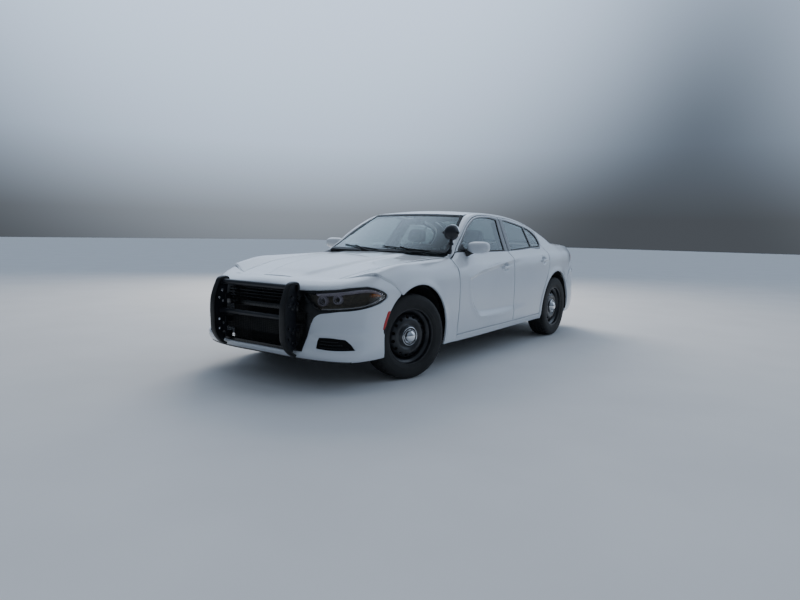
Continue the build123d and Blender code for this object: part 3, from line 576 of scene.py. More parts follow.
def sweep(path, r, n=16, cap=True):
    """Round tube along points; r may be one radius or one per point."""
    P = np.array(path, float)
    R = np.broadcast_to(np.asarray(r, float), (len(P),))
    T = np.gradient(P, axis=0)
    T /= np.linalg.norm(T, axis=1, keepdims=True)
    up = np.array([0, 0, 1.0]) if abs(T[0][2]) < 0.9 else np.array([1.0, 0, 0])
    V, F = [], []
    u = np.cross(T[0], up)
    for i in range(len(P)):
        u = u - (u @ T[i]) * T[i]
        u /= np.linalg.norm(u)
        w = np.cross(T[i], u)
        a = np.linspace(0, 2 * math.pi, n, endpoint=False)[:, None]
        V.append(P[i] + R[i] * (np.cos(a) * u + np.sin(a) * w))
    for i in range(len(P) - 1):
        for j in range(n):
            k = (j + 1) % n
            F.append((i * n + j, i * n + k, (i + 1) * n + k, (i + 1) * n + j))
    if cap:
        F.append(tuple(range(n))[::-1])
        F.append(tuple((len(P) - 1) * n + j for j in range(n)))
    return np.concatenate(V), F


def turn(profile, n=64, centre=(0, 0, 0), axis="x", closed=False):
    """Turned piece: profile of (radius, distance along the axis)."""
    pr = np.array(profile, float)
    m = len(pr)
    a = np.linspace(0, 2 * math.pi, n, endpoint=False)
    V = np.zeros((n, m, 3))
    c, s = np.cos(a)[:, None], np.sin(a)[:, None]
    if axis == "x":
        V[..., 0], V[..., 1], V[..., 2] = pr[:, 1], pr[:, 0] * c, pr[:, 0] * s
    elif axis == "y":
        V[..., 1], V[..., 2], V[..., 0] = pr[:, 1], pr[:, 0] * c, pr[:, 0] * s
    else:
        V[..., 2], V[..., 0], V[..., 1] = pr[:, 1], pr[:, 0] * c, pr[:, 0] * s
    F = []
    last = m if closed else m - 1
    for i in range(n):
        j = (i + 1) % n
        for k in range(last):
            l = (k + 1) % m
            F.append((i * m + k, j * m + k, j * m + l, i * m + l))
    return V.reshape(-1, 3) + np.array(centre), F


def prism(outline, along, lo, hi, bevel=0.0):
    """Outline of two coordinates pushed between lo and hi of the third axis, edges eased by bevel."""
    o = np.array(outline, float)
    if area(o) < 0:
        o = o[::-1]
    rows = [(lo, bevel), (lo + bevel, 0), (hi - bevel, 0), (hi, bevel)] if bevel else [(lo, 0), (hi, 0)]
    V = []
    for h, d in rows:
        q = shrink(o, d) if d else o
        c = np.full((len(o), 1), h)
        V.append({"x": np.hstack([c, q]), "s": np.hstack([q[:, :1], c, q[:, 1:]]), "z": np.hstack([q, c])}[along])
    n = len(o)
    F = []
    for k in range(len(rows) - 1):
        for i in range(n):
            j = (i + 1) % n
            F.append((k * n + i, k * n + j, (k + 1) * n + j, (k + 1) * n + i))
    F.append(tuple(range(n))[::-1])
    F.append(tuple((len(rows) - 1) * n + i for i in range(n)))
    if along == "s":
        F = [f[::-1] for f in F]
    return np.concatenate(V), F


def soften(ob, width=0.004, segments=2, subdiv=0):
    if width:
        b = ob.modifiers.new("b", "BEVEL")
        b.width, b.segments, b.limit_method, b.angle_limit = width, segments, "ANGLE", math.radians(35)
    if subdiv:
        m = ob.modifiers.new("s", "SUBSURF")
        m.levels = m.render_levels = subdiv
    bpy.context.view_layer.objects.active = ob
    dg = bpy.context.evaluated_depsgraph_get()
    me = bpy.data.meshes.new_from_object(ob.evaluated_get(dg))
    ob.modifiers.clear()
    ob.data = me
    me.shade_smooth()
    me.set_sharp_from_angle(angle=math.radians(40))
    return ob


# ---------------------------------------------------------------- body skins (millimetre tables)
# s, sill x z, rocker x z, widest x z, shoulder x z, belt x z, rail x z, edge x z, middle z
CABIN = [
    (480, 905, 226, 921, 300, 948, 640, 936, 885, 833, 995, 760, 1005, 560, 1016, 1034),
    (715, 905, 227, 923, 300, 946, 640, 935, 892, 830, 1000, 762, 1024, 640, 1032, 1046),
    (870, 905, 228, 924, 300, 945, 640, 934, 898, 829, 1006, 745, 1118, 680, 1126, 1180),
    (1030, 905, 228, 925, 300, 945, 640, 933, 905, 829, 1012, 723, 1234, 655, 1242, 1300),
    (1180, 905, 230, 925, 302, 944, 640, 932, 911, 828, 1018, 684, 1325, 614, 1336, 1385),
    (1335, 905, 232, 925, 305, 944, 640, 931, 918, 828, 1024, 646, 1398, 572, 1415, 1442),
    (1500, 905, 235, 925, 306, 943, 640, 930, 929, 827, 1035, 622, 1436, 558, 1446, 1470),
    (1700, 905, 238, 925, 308, 943, 640, 929, 940, 826, 1046, 612, 1446, 555, 1457, 1482),
    (1900, 905, 242, 925, 310, 943, 640, 928, 952, 822, 1057, 612, 1446, 555, 1457, 1483),
    (2130, 905, 246, 925, 312, 943, 640, 927, 965, 818, 1068, 616, 1434, 555, 1450, 1478),
    (2330, 904, 248, 925, 314, 944, 645, 925, 975, 812, 1079, 630, 1411, 563, 1436, 1465),
    (2530, 903, 250, 925, 316, 945, 650, 924, 985, 806, 1090, 652, 1376, 576, 1411, 1444),
    (2690, 902, 250, 925, 318, 947, 655, 923, 992, 802, 1097, 672, 1340, 588, 1378, 1408),
    (2830, 900, 250, 925, 320, 949, 660, 922, 1000, 798, 1104, 694, 1296, 600, 1336, 1360),
    (2960, 897, 250, 922, 320, 950, 665, 920, 1004, 796, 1109, 720, 1246, 618, 1280, 1304),
    (3060, 895, 250, 920, 320, 949, 670, 918, 1008, 794, 1112, 742, 1202, 634, 1230, 1250),
    (3150, 890, 250, 916, 320, 946, 672, 916, 1010, 793, 1113, 754, 1160, 650, 1184, 1202),
    (3230, 885, 250, 910, 320, 942, 675, 912, 1012, 792, 1114, 760, 1130, 658, 1150, 1168),
    (3340, 875, 250, 902, 320, 930, 680, 903, 1014, 786, 1112, 752, 1117, 640, 1124, 1136),
    (3600, 845, 250, 872, 320, 900, 680, 876, 1010, 768, 1106, 735, 1112, 640, 1120, 1132),
    (3800, 780, 250, 806, 320, 838, 680, 822, 1000, 742, 1094, 712, 1104, 630, 1116, 1130),
    (3990, 690, 250, 712, 320, 752, 680, 744, 985, 690, 1066, 664, 1090, 600, 1106, 1128)]
# s, low x z, widest x z, shoulder x z, crest x z, shut x z, valley x z, crease x z, middle z
NOSE = [
    (-760, 820, 230, 826, 620, 828, 790, 700, 826, 540, 832, 178, 842, 120, 849, 851),
    (-600, 880, 230, 886, 620, 888, 800, 800, 862, 562, 846, 232, 856, 168, 868, 871),
    (-500, 890, 230, 897, 620, 892, 830, 835, 905, 580, 868, 276, 878, 212, 895, 899),
    (-340, 900, 230, 925, 620, 915, 862, 850, 948, 608, 902, 318, 908, 256, 928, 932),
    (-190, 905, 230, 940, 620, 932, 878, 860, 977, 630, 930, 344, 932, 284, 953, 958),
    (40, 918, 230, 952, 640, 943, 885, 852, 985, 660, 957, 358, 962, 298, 984, 990),
    (290, 920, 230, 950, 640, 940, 885, 840, 990, 690, 980, 384, 989, 326, 1009, 1016),
    (500, 919, 230, 948, 640, 937, 888, 834, 995, 715, 995, 412, 1010, 356, 1025, 1034),
    (700, 918, 230, 945, 640, 935, 892, 830, 1000, 740, 1008, 432, 1030, 378, 1040, 1050)]


def net_rows(rows):
    keys, grid = [], []
    for r in rows:
        xz = r[1:-1]
        grid.append([(xz[i] / 1000, r[0] / 1000, xz[i + 1] / 1000) for i in range(0, len(xz), 2)]
                    + [(0, r[0] / 1000, r[-1] / 1000)])
        keys.append(r[0] / 1000)
    return keys, grid


def line_dist(s, z, pts):
    """Distance in side view from a polyline, and the nearest point's place along it, 0 to 1."""
    L = trace(pts, 0.02)
    a, b = L[:-1], L[1:] - L[:-1]
    q = np.stack([s, z], 1)
    t = np.clip(((q[:, None] - a) * b).sum(2) / (b * b).sum(1), 0, 1)
    d = np.linalg.norm(q[:, None] - a - t[..., None] * b, axis=2)
    return d.min(1), d.argmin(1) / len(a)


SCALLOP_TOP = [(0.858, 0.812), (1.033, 0.863), (1.25, 0.893), (1.458, 0.919), (1.885, 0.966), (2.45, 1.02)]
SCALLOP_LOW = [(0.858, 0.812), (0.866, 0.70), (0.893, 0.60), (0.935, 0.53), (0.999, 0.474), (1.064, 0.435),
               (1.20, 0.420), (1.522, 0.416), (2.014, 0.426), (2.50, 0.445)]
HANDLES = [(1.672, 0.889), (2.660, 0.940)]


def step01(x):
    x = np.clip(x, 0, 1)
    return x * x * (3 - 2 * x)


def side_relief(p):
    """Scallop in the doors, cups behind the handles and the flared arch lips."""
    p = p.copy()
    x, s, z = p[:, 0], p[:, 1], p[:, 2]
    low = z < 1.05
    dt, _ = line_dist(s, z, SCALLOP_TOP)
    dl, _ = line_dist(s, z, SCALLOP_LOW)
    top = np.interp(s, [q[0] for q in SCALLOP_TOP], [q[1] for q in SCALLOP_TOP])
    bot = np.interp(s, [q[0] for q in SCALLOP_LOW], [q[1] for q in SCALLOP_LOW])
    inn = (s > 0.858) & (z < top) & (z > bot)
    fade = 1 - step01((s - 1.35) / 1.0)
    depth = 0.026 * fade * step01(dt / 0.040) * step01(dl / 0.060)
    x = x - np.where(inn, depth, 0)
    # the surface stands a little proud just outside the scallop's edges
    lip = 0.005 * fade * np.exp(-(np.minimum(dt, dl) / 0.03) ** 2)
    x = x + np.where(~inn & (s > 0.72) & low, lip, 0)
    for hs, hz in HANDLES:
        r = np.hypot((s - hs) / 0.064, (z - hz - 0.004) / 0.050)
        x = x - 0.030 * (1 - step01((r - 0.40) / 0.60)) * (z < hz + 0.08)
    for cs, R in ((0.0, 0.437), (3.052, 0.442)):
        r = np.hypot(s - cs, z - 0.36)
        x = x + np.where(low & (z > 0.2), 0.011 * np.exp(-((r - R) / 0.040) ** 2) * (r > R - 0.05), 0)
    p[:, 0] = x
    p[:, 2] = z - 0.15 * np.maximum(z - 1.47, 0)
    return p


CK, CG = net_rows(CABIN)
NK, NG = net_rows(NOSE)
cab = Net(CK, CG, [0, .3, .5, .34, .10, .24, .45, .5], feature=side_relief)
nose = Net(NK, NG, [0, .5, .45, .34, .12, .22, .12, .5], feature=side_relief)
tight = {"step": 0.0165}

# ---------------------------------------------------------------- doors
# outlines in side view (s, z)
FRONT_DOOR = [(0.664, 0.294), (1.20, 0.300), (1.848, 0.304), None, (1.852, 0.60), (1.858, 0.90), (1.868, 1.04),
              (1.905, 1.18), (1.978, 1.412), None, (1.900, 1.423), (1.780, 1.427), (1.640, 1.426), (1.510, 1.418),
              (1.372, 1.390), (1.245, 1.340), (1.130, 1.278), (1.020, 1.206), (0.868, 1.090), (0.800, 1.038),
              (0.735, 1.010), (0.664, 0.992), None, (0.664, 0.60), (0.664, 0.294)]
REAR_DOOR = [(1.857, 0.304), (2.20, 0.310), (2.566, 0.316), None, (2.566, 0.40), (2.590, 0.505), (2.636, 0.606),
             (2.700, 0.700), (2.762, 0.780), (2.808, 0.866), (2.826, 0.96), (2.836, 1.10), (2.834, 1.19),
             (2.800, 1.262), (2.752, 1.300), (2.66, 1.334), (2.56, 1.358), (2.43, 1.380), (2.27, 1.400), (2.12, 1.412),
             (1.988, 1.414), None, (1.914, 1.18), (1.877, 1.04), (1.867, 0.90), (1.861, 0.60), (1.857, 0.304)]
FRONT_LIGHT = [(0.905, 1.076), (1.05, 1.069), (1.786, 1.066), None, (1.822, 1.18), (1.904, 1.388), None, (1.780, 1.403),
               (1.640, 1.402), (1.515, 1.396), (1.388, 1.370), (1.262, 1.320), (1.150, 1.262), (1.046, 1.193),
               (0.960, 1.125), (0.905, 1.076)]
REAR_LIGHT = [(1.962, 1.069), (2.20, 1.080), (2.50, 1.096), (2.760, 1.107), None, (2.792, 1.130), (2.794, 1.180),
              (2.768, 1.228), None, (2.660, 1.290), (2.545, 1.318), (2.420, 1.342), (2.270, 1.366), (2.130, 1.382),
              (2.064, 1.385), None, (1.998, 1.18), (1.962, 1.069)]
SIDE_T = (0.0, 5.9)


def side_loop(points, step=0.012):
    return route(cab, ("sz", points, SIDE_T), step=step)


def grown(points, d, step=0.012):
    """Side-view outline moved outwards by d, as skin coordinates."""
    lp = trace(points, step, closed=True)
    lp = lp if area(lp) > 0 else lp[::-1]
    q = shrink(lp, -d)
    keep = [0]
    for i in range(1, len(q)):
        if np.linalg.norm(q[i] - q[keep[-1]]) > step * 0.4:
            keep.append(i)
    return cab.find("sz", q[keep], SIDE_T)


top_line = cab.find("sz", trace(SCALLOP_TOP, 0.012), (1, 4))
low_line = cab.find("sz", trace(SCALLOP_LOW[:8], 0.012), (1, 4))
belt_line = np.stack([np.arange(0.66, 2.9, 0.012), np.full(187, cab.ww[4])], 1)[:187]
should_line = np.stack([np.arange(0.66, 2.9, 0.012)[:187], np.full(187, cab.ww[3])], 1)
fd_loop, rd_loop = side_loop(FRONT_DOOR), side_loop(REAR_DOOR)
FRONT_RING = [(0.880, 1.058), (1.05, 1.052), (1.8675, 1.050), None, (1.9035, 1.18), (1.9745, 1.404), None, (1.905, 1.413),
              (1.780, 1.417), (1.640, 1.416), (1.510, 1.408), (1.380, 1.383), (1.252, 1.333), (1.138, 1.273),
              (1.030, 1.203), (0.945, 1.135), (0.862, 1.070), None, (0.880, 1.058)]
REAR_RING = [(1.8820, 1.052), (2.20, 1.064), (2.50, 1.080), (2.78, 1.092), (2.816, 1.115), (2.819, 1.180),
             (2.790, 1.242), (2.748, 1.276), (2.665, 1.308), (2.555, 1.336), (2.425, 1.360), (2.270, 1.383),
             (2.130, 1.400), (1.990, 1.406), None, (1.9165, 1.18), (1.8820, 1.052)]
f_ring, r_ring = side_loop(FRONT_RING), side_loop(REAR_RING)
f_light, r_light = side_loop(FRONT_LIGHT), side_loop(REAR_LIGHT)

for which, loop, hole, ring, light, n in (("front", fd_loop, grown(FRONT_RING, -0.006), f_ring, f_light, 0),
                                          ("rear", rd_loop, grown(REAR_RING, -0.006), r_ring, r_light, 1)):
    bodies = (f"{which}_door_left", f"{which}_door_right")
    skin = skin_mesh(cab, loop, [hole], lines=[top_line, low_line], deep=0.016, out=1, **tight)
    pair(f"{which}_door_skin", skin, PAINT, *bodies, "body_paint", f"{which}_door_left", f"{which}_door_right")
    trim = skin_mesh(cab, ring, [light], step=0.02, deep=0.016, out=1, lift=0.0022, hem=0.0025, corner=0.004)
    pair(f"{which}_door_window_trim", trim, GLOSS, *bodies, "black_plastic")
    pane = skin_mesh(cab, grown(FRONT_LIGHT if n == 0 else REAR_LIGHT, 0.010), step=0.03, deep=0.0034, hem=0.0006,
                     out=1, lift=-0.006, corner=0.0)
    pair(f"{which}_door_window", pane, GLASS, *bodies, "glass", f"{which}_door_glass_left", f"{which}_door_glass_right")
    # weather strip along the window's foot
    a = FRONT_LIGHT if n == 0 else REAR_LIGHT
    foot = [(p[0], p[1] - 0.004) for p in a[:3 if n == 0 else 4]]
    L = cab.find("sz", trace(foot, 0.02), SIDE_T)
    c = cab.pos(L) + cab.normal(L) * 0.003
    pair(f"{which}_door_weatherstrip", sweep(c, 0.0065, 10), SEAL, *bodies, "black_plastic")

# bar between rear door glass and quarter glass
bar = skin_mesh(cab, side_loop([(2.512, 1.088), (2.545, 1.090), None, (2.548, 1.330), None, (2.518, 1.336), None,
                                (2.512, 1.088)]), step=0.02, deep=0.012, lift=0.0026, hem=0.002, corner=0.0)
pair("rear_window_bar", bar, GLOSS, "rear_door_left", "rear_door_right", "black_plastic")

# ---------------------------------------------------------------- body sides, roof, lids
arc = [(3.052 + 0.442 * math.cos(a), 0.36 + 0.442 * math.sin(a))
       for a in np.radians(np.linspace(194.4, 28.6, 40))]
g = 0.007
side_out = route(
    cab,
    ("ab", [(0.661, 0.0), (2.622, 0.0)]),
    ("sz", arc, (0, 4)),
    ("sz", [arc[-1], (3.447, 0.636), (3.565, 0.796), (3.80, 0.822), (3.985, 0.832)], (0, 4)),
    ("sz", [(3.985, 0.832), (3.985, 0.884), None, (3.868, 0.884), None, (3.868, 1.014), None, (3.985, 1.014)], (0, 4.5)),
    ("xs", [(0.660, 3.985), (0.621, 3.985), None, (0.620, 3.60), (0.619, 3.350)], (4.5, 7)),
    ("xs", [(0.619, 3.350), (0.628, 3.20), (0.620, 3.10), (0.598, 2.83), (0.576, 2.62), (0.563, 2.54), (0.556, 2.30),
            (0.552, 2.0), (0.552, 1.60), (0.558, 1.40), (0.572, 1.322), (0.640, 1.10), (0.706, 0.88), (0.764, 0.700)],
     (4.5, 7)),
    ("xs", [(0.764, 0.700), (0.764, 0.661)], (4, 7)),
    ("ab", [(0.661, cab.ww[5]), (0.661, 0.0)]),
)
side = skin_mesh(cab, side_out, [grown(FRONT_DOOR, g), grown(REAR_DOOR, g)], deep=0.020, corner=0.006, **tight)
pair("body_side_skin", side, PAINT, "root", "root", "body_paint", "body_side_left", "body_side_right")


def plan(net, points, t=(4.5, None)):
    return net.find("xs", points, t)


def whole(half):
    """Half outline in skin coordinates, from the middle line to the middle line, completed across the middle."""
    other = half[::-1].copy()
    other[:, 1] = 2 * WM - other[:, 1]
    return np.concatenate([half, other[1:-1]])


WM = cab.ww[7]
roof_half = np.concatenate([[(1.300, WM)], plan(cab, trace([(0.02, 1.302), (0.30, 1.312), (0.545, 1.345), None,
                            (0.548, 1.45), (0.546, 1.60), (0.546, 2.0), (0.550, 2.30), (0.557, 2.50), None,
                            (0.40, 2.562), (0.20, 2.582), (0.02, 2.588)], 0.02), (5.2, 7)), [(2.588, WM)]])
make("roof_skin", *skin_mesh(cab, whole(roof_half), deep=0.018, hem=0.004, step=0.022), PAINT, "root", "body_paint",
     "roof_panel")
# dark joint strip between roof and body side
L = cab.find("xs", trace([(0.566, 1.36), (0.550, 1.45), (0.549, 1.60), (0.549, 2.0), (0.553, 2.30), (0.560, 2.52)], 0.02),
             (5, 7))
c = cab.pos(L) - cab.normal(L) * 0.006
pair("roof_joint_strip", sweep(c, 0.0055, 8), SEAL, "root", "root", "black_plastic")

lid_half = np.concatenate([[(3.358, WM)], plan(cab, trace([(0.02, 3.358), (0.40, 3.356), (0.612, 3.356), None,
                           (0.613, 3.60), (0.613, 3.80), (0.612, 3.984), None, (0.40, 3.988), (0.02, 3.989)], 0.02),
                           (5.2, 7)), [(3.989, WM)]])
lid_top = skin_mesh(cab, whole(lid_half), deep=0.016, hem=0.002, step=0.024, corner=0.012)


# rear wall of the lid: from the spoiler lip down; t runs along x, h is height
def lid_wall(ab):
    x, h = ab[:, 0], ab[:, 1]
    f = 1 - np.abs(x / 0.64) ** 2.4
    s_top = 3.992 + 0.070 * f
    zt = 1.1285 - 0.024 * np.abs(x / 0.616) ** 2
    q = np.clip((zt - h) / 0.28, 0, 1)
    s = s_top + 0.006 - 0.020 * np.clip(q * 4, 0, 1) ** 0.6 + 0.012 * q
    return np.stack([x, s, h], 1)


wall_net = Sheet(lid_wall)
wall_loop = trace([(-0.612, 0.850), (0.0, 0.846), (0.612, 0.850), None, (0.614, 1.00), (0.604, 1.104), None,
                   (0.40, 1.118), (0.0, 1.1275), (-0.40, 1.118), (-0.604, 1.104), None, (-0.614, 1.00),
                   (-0.612, 0.850)], 0.015, closed=True)
wall = skin_mesh(wall_net, wall_loop, deep=0.016, hem=0.003, step=0.022, out=-1)


def lid_lip(ab):
    """Spoiler lip joining the lid's top to its rear wall."""
    x, k = ab[:, 0], ab[:, 1]
    f = 1 - np.abs(x / 0.64) ** 2.4
    s0, z0 = 3.975, 1.1285 - 0.020 * np.abs(x / 0.616) ** 2 - 0.003
    s1, z1 = 3.998 + 0.070 * f, 1.1285 - 0.024 * np.abs(x / 0.616) ** 2
    s = s0 + (s1 - s0) * k
    z = z0 + (z1 - z0) * k + 0.014 * f * k**1.5
    return np.stack([x, s, z], 1)


lip_loop = trace([(-0.606, 0.0), (0.606, 0.0), None, (0.600, 1.0), None, (-0.600, 1.0), None, (-0.606, 0.0)], 0.03,
                 closed=True, smooth=False)
lip = skin_mesh(Sheet(lid_lip), lip_loop, step=0.05, deep=0.010, hem=0.003, out=1, corner=0)
v, f = bits([lid_top, wall, lip])
make("trunk_lid_skin", v, f, PAINT, "trunk_lid", "body_paint", "trunk_lid")

# ---------------------------------------------------------------- hood and front wings
hood_line = [(0.5605, -0.600), (0.5795, -0.500), (0.606, -0.340), (0.629, -0.190), (0.659, 0.040), (0.689, 0.290),
             (0.714, 0.500), (0.732, 0.655)]
WN = nose.ww[7]
front_edge = trace([(0.02, -0.7215), (0.20, -0.716), (0.36, -0.693), (0.47, -0.658), (0.5605, -0.600)], 0.014)
rear_edge = trace([(0.732, 0.655), (0.640, 0.628), (0.520, 0.590), (0.260, 0.534), (0.02, 0.520)], 0.014)
hood_half = np.concatenate([[(-0.7215, WN)], plan(nose, front_edge, (3.6, 7)),
                            plan(nose, trace(hood_line, 0.014), (3.4, 4.6))[1:],
                            plan(nose, rear_edge, (3.6, 7))[1:], [(0.520, WN)]])
WM_keep, WM = WM, WN
ks = np.arange(-0.70, 0.60, 0.014)
creases = [np.stack([ks, np.full(len(ks), w)], 1) for w in (nose.ww[6], nose.ww[5], 2 * WN - nose.ww[6],
                                                             2 * WN - nose.ww[5])]
hood = skin_mesh(nose, whole(hood_half), lines=creases, deep=0.020, hem=0.0035, corner=0.006, **tight)
make("hood_skin", *hood, PAINT, "hood", "body_paint", "hood")
WM = WM_keep

wing_arc = [(0.437 * math.cos(a), 0.36 + 0.437 * math.sin(a)) for a in np.radians(np.linspace(18, 123.5, 34))]
r_low = [(0.437 * math.cos(a), 0.36 + 0.437 * math.sin(a)) for a in np.radians(np.linspace(-17, 18, 12))]
wing_out = route(
    nose,
    ("sz", [(0.654, 0.234), (0.437 * math.cos(math.radians(-16.8)), 0.234)], (0, 2)),
    ("sz", r_low[:-1], (0, 3)),
    ("sz", wing_arc, (0.2, 3)),
    ("sz", [wing_arc[-1], (-0.300, 0.782), (-0.345, 0.823), (-0.420, 0.866), (-0.468, 0.900)], (1, 3.2)),
    ("xs", [(0.842, -0.466), (0.74, -0.508), (0.65, -0.556), (0.5665, -0.596)], (2.4, 4.3)),
    ("xs", [(x + 0.006, s) for x, s in hood_line], (3.0, 4.6)),
    ("ab", [(0.654, nose.ww[4]), (0.654, 0.02)]),
)
wing = skin_mesh(nose, wing_out, deep=0.012, corner=0.004, **tight)
pair("front_wing", wing, PAINT, "root", "root", "body_paint", "front_fenders")

# ---------------------------------------------------------------- front bumper cover
# rows upward; points from the arch edge to the middle
FB = [
    [(893, -419, 236), (890, -560, 236), (850, -735, 236), (690, -830, 236), (400, -886, 236), (0, -880, 236)],
    [(902, -427, 268), (901, -570, 266), (870, -748, 266), (692, -862, 266), (400, -920, 266), (0, -906, 266)],
    [(905, -428, 450), (902, -560, 450), (868, -712, 450), (700, -846, 450), (400, -918, 450), (0, -924, 450)],
    [(909, -366, 598), (904, -505, 598), (868, -684, 600), (700, -830, 600), (400, -916, 600), (0, -929, 600)],
    [(916, -296, 682), (908, -455, 694), (870, -658, 700), (700, -816, 700), (400, -908, 700), (0, -921, 700)],
    [(923, -262, 712), (915, -420, 758), (872, -622, 782), (700, -782, 784), (400, -882, 784), (0, -897, 786)],
    [(929, -250, 726), (912, -388, 800), (858, -556, 846), (664, -700, 832), (380, -806, 826), (0, -838, 830)],
    [(932, -243, 732), (902, -362, 832), (848, -476, 895), (566, -612, 844), (320, -704, 848), (0, -738, 851)]]
fb_grid = np.array(FB, float) / 1000
fb_keys = np.concatenate([[0], np.cumsum(np.linalg.norm(np.diff(fb_grid, axis=0), axis=2).mean(1))])
front = Net(fb_keys, fb_grid, [0, .5, .46, .46, .5, .5], feature=None)


def chin(p):
    """Ledge over the fog pocket and the raised lower lip."""
    p = p.copy()
    x, s, z = np.abs(p[:, 0]), p[:, 1], p[:, 2]
    k = step01((x - 0.50) / 0.12) * (s < -0.30)
    d = -0.022 * np.exp(-((z - 0.452) / 0.026) ** 2) * k + 0.016 * np.exp(-((z - 0.375) / 0.05) ** 2) * k
    p[:, 1] += d
    return p


front.feature = chin
FM = front.ww[5]


def fr(axes, pts, t=(0, 5)):
    return front.find(axes, pts, t)


def mirror_half(half):
    o = half[::-1].copy()
    o[:, 1] = 2 * FM - o[:, 1]
    return np.concatenate([half, o])


V7 = fb_keys[-1]
fb_arc = [(0.437 * math.cos(a), 0.36 + 0.437 * math.sin(a)) for a in np.radians(np.linspace(196.3, 125.5, 30))]
half = np.concatenate([
    [(0.0, FM)],
    np.stack([np.zeros(60), np.linspace(FM - 0.01, 0.02, 60)], 1),
    fr("sz", fb_arc, (0, 1.2)),
    np.stack([np.full(70, V7 - 0.001), np.linspace(0.012, FM - 0.01, 70)], 1),
    [(V7 - 0.001, FM)]])
fb_outer = np.concatenate([half, np.stack([half[::-1][1:-1, 0], 2 * FM - half[::-1][1:-1, 1]], 1)])

# black mask: grille, lamps and lower intake in one opening
MASK_TOP = [(0.0, 0.776), (0.30, 0.776), (0.465, 0.774), (0.60, 0.783), (0.74, 0.797)]
mask_half = np.concatenate([
    fr("xz", trace(MASK_TOP, 0.014), (2, 5))[:-2],
    fr("sz", trace([(-0.742, 0.799), (-0.66, 0.808), (-0.585, 0.812), None, (-0.50, 0.786), (-0.432, 0.752),
                    (-0.410, 0.732), (-0.416, 0.708), None, (-0.46, 0.682), (-0.54, 0.658), (-0.64, 0.640),
                    (-0.745, 0.624)], 0.014), (0, 4))[3:],
    fr("xz", trace([(0.758, 0.622), (0.66, 0.606), (0.60, 0.594), (0.566, 0.570), (0.545, 0.53), (0.520, 0.44),
                    (0.497, 0.35), (0.480, 0.300), None, (0.30, 0.290), (0.0, 0.287)], 0.014), (2, 5))[1:]])
mask_loop = np.concatenate([mask_half, np.stack([mask_half[::-1][1:-1, 0], 2 * FM - mask_half[::-1][1:-1, 1]], 1)])
fog = fr("xz", trace([(0.598, 0.338), (0.60, 0.40), (0.612, 0.418), None, (0.70, 0.420), (0.792, 0.410), None,
                      (0.828, 0.376), (0.862, 0.334), None, (0.73, 0.330), (0.598, 0.338)], 0.010), (1.5, 4.2))
fog_r = np.stack([fog[::-1, 0], 2 * FM - fog[::-1, 1]], 1)
fb = skin_mesh(front, fb_outer, [mask_loop, fog, fog_r], deep=0.016, out=1, corner=0.006, hem=0.0035, **tight)
make("front_bumper_skin", *fb, PAINT, "root", "body_paint", "front_bumper")

MASKM = mat("grille_black", (0.003, 0.003, 0.0032), (0.007, 0.007, 0.0075), 12.0, (0.22, 0.34), bump=0.1,
            bump_scale=700)
# mask panel behind the opening, with the grille and intake cut out
grille_half = fr("xz", trace([(0.0, 0.752), (0.25, 0.751), (0.405, 0.746), None, (0.412, 0.70), (0.405, 0.655), None,
                              (0.25, 0.650), (0.0, 0.648)], 0.014), (2, 5))
intake_half = fr("xz", trace([(0.0, 0.608), (0.25, 0.607), (0.485, 0.600), None, (0.478, 0.50), (0.45, 0.40),
                              (0.420, 0.335), None, (0.25, 0.322), (0.0, 0.318)], 0.014), (2, 5))


def both_halves(h):
    return np.concatenate([h, np.stack([h[::-1][1:-1, 0], 2 * FM - h[::-1][1:-1, 1]], 1)])


grille_loop, intake_loop = both_halves(grille_half), both_halves(intake_half)
lamp_loop = fr("sz", trace([(-0.876, 0.752), (-0.80, 0.766), (-0.742, 0.782), (-0.66, 0.793), (-0.590, 0.797), None,
                            (-0.512, 0.774), (-0.445, 0.744), (-0.424, 0.728), (-0.430, 0.712), None,
                            (-0.47, 0.694), (-0.54, 0.672), (-0.64, 0.654), (-0.745, 0.638), (-0.82, 0.628),
                            (-0.862, 0.624), None, (-0.874, 0.68), (-0.876, 0.752)], 0.012), (0, 4.3))
lamp_r = np.stack([lamp_loop[::-1, 0], 2 * FM - lamp_loop[::-1, 1]], 1)
wide = shrink(tidy(mask_loop if area(mask_loop) > 0 else mask_loop[::-1]), -0.012)
mask = skin_mesh(front, wide, [grille_loop, intake_loop, lamp_loop, lamp_r], step=0.022, deep=0.020, lift=-0.012,
                 hem=0.003, corner=0.006)
make("grille_mask", *mask, MASKM, "root", "black_plastic", "grille")
for nm, lp, sg in (("left", lamp_loop, 1), ("right", lamp_r, -1)):
    lens = skin_mesh(front, shrink(tidy(lp if area(lp) > 0 else lp[::-1]), 0.001), step=0.02, deep=0.0025, hem=0.001,
                     lift=-0.0075, corner=0.0)
    make(f"headlamp_lens_{nm}", *lens, SMOKE, "root", "lamp_front", "headlamps")
    bowl = skin_mesh(front, shrink(tidy(lp if area(lp) > 0 else lp[::-1]), 0.002), step=0.03, deep=0.004, hem=0.001,
                     lift=-0.075, corner=0.0)
    make(f"headlamp_bowl_{nm}", *bowl, BOWL, "root", "black_plastic")


def lamp_at(x, z, back):
    ab = front.find("xz", [(x, z)], (1.2, 4.6))
    return (front.pos(ab) - front.normal(ab) * back)[0], front.normal(ab)[0]


def face_to(vf, at, n):
    """Turned piece made along x moved so that its axis looks along n."""
    v, f = vf
    n = np.array(n) / np.linalg.norm(n)
    u = np.cross([0, 0, 1.0], n)
    u /= np.linalg.norm(u)
    w = np.cross(n, u)
    R = np.stack([n, u, w], 1)
    return np.asarray(v) @ R.T + at, f


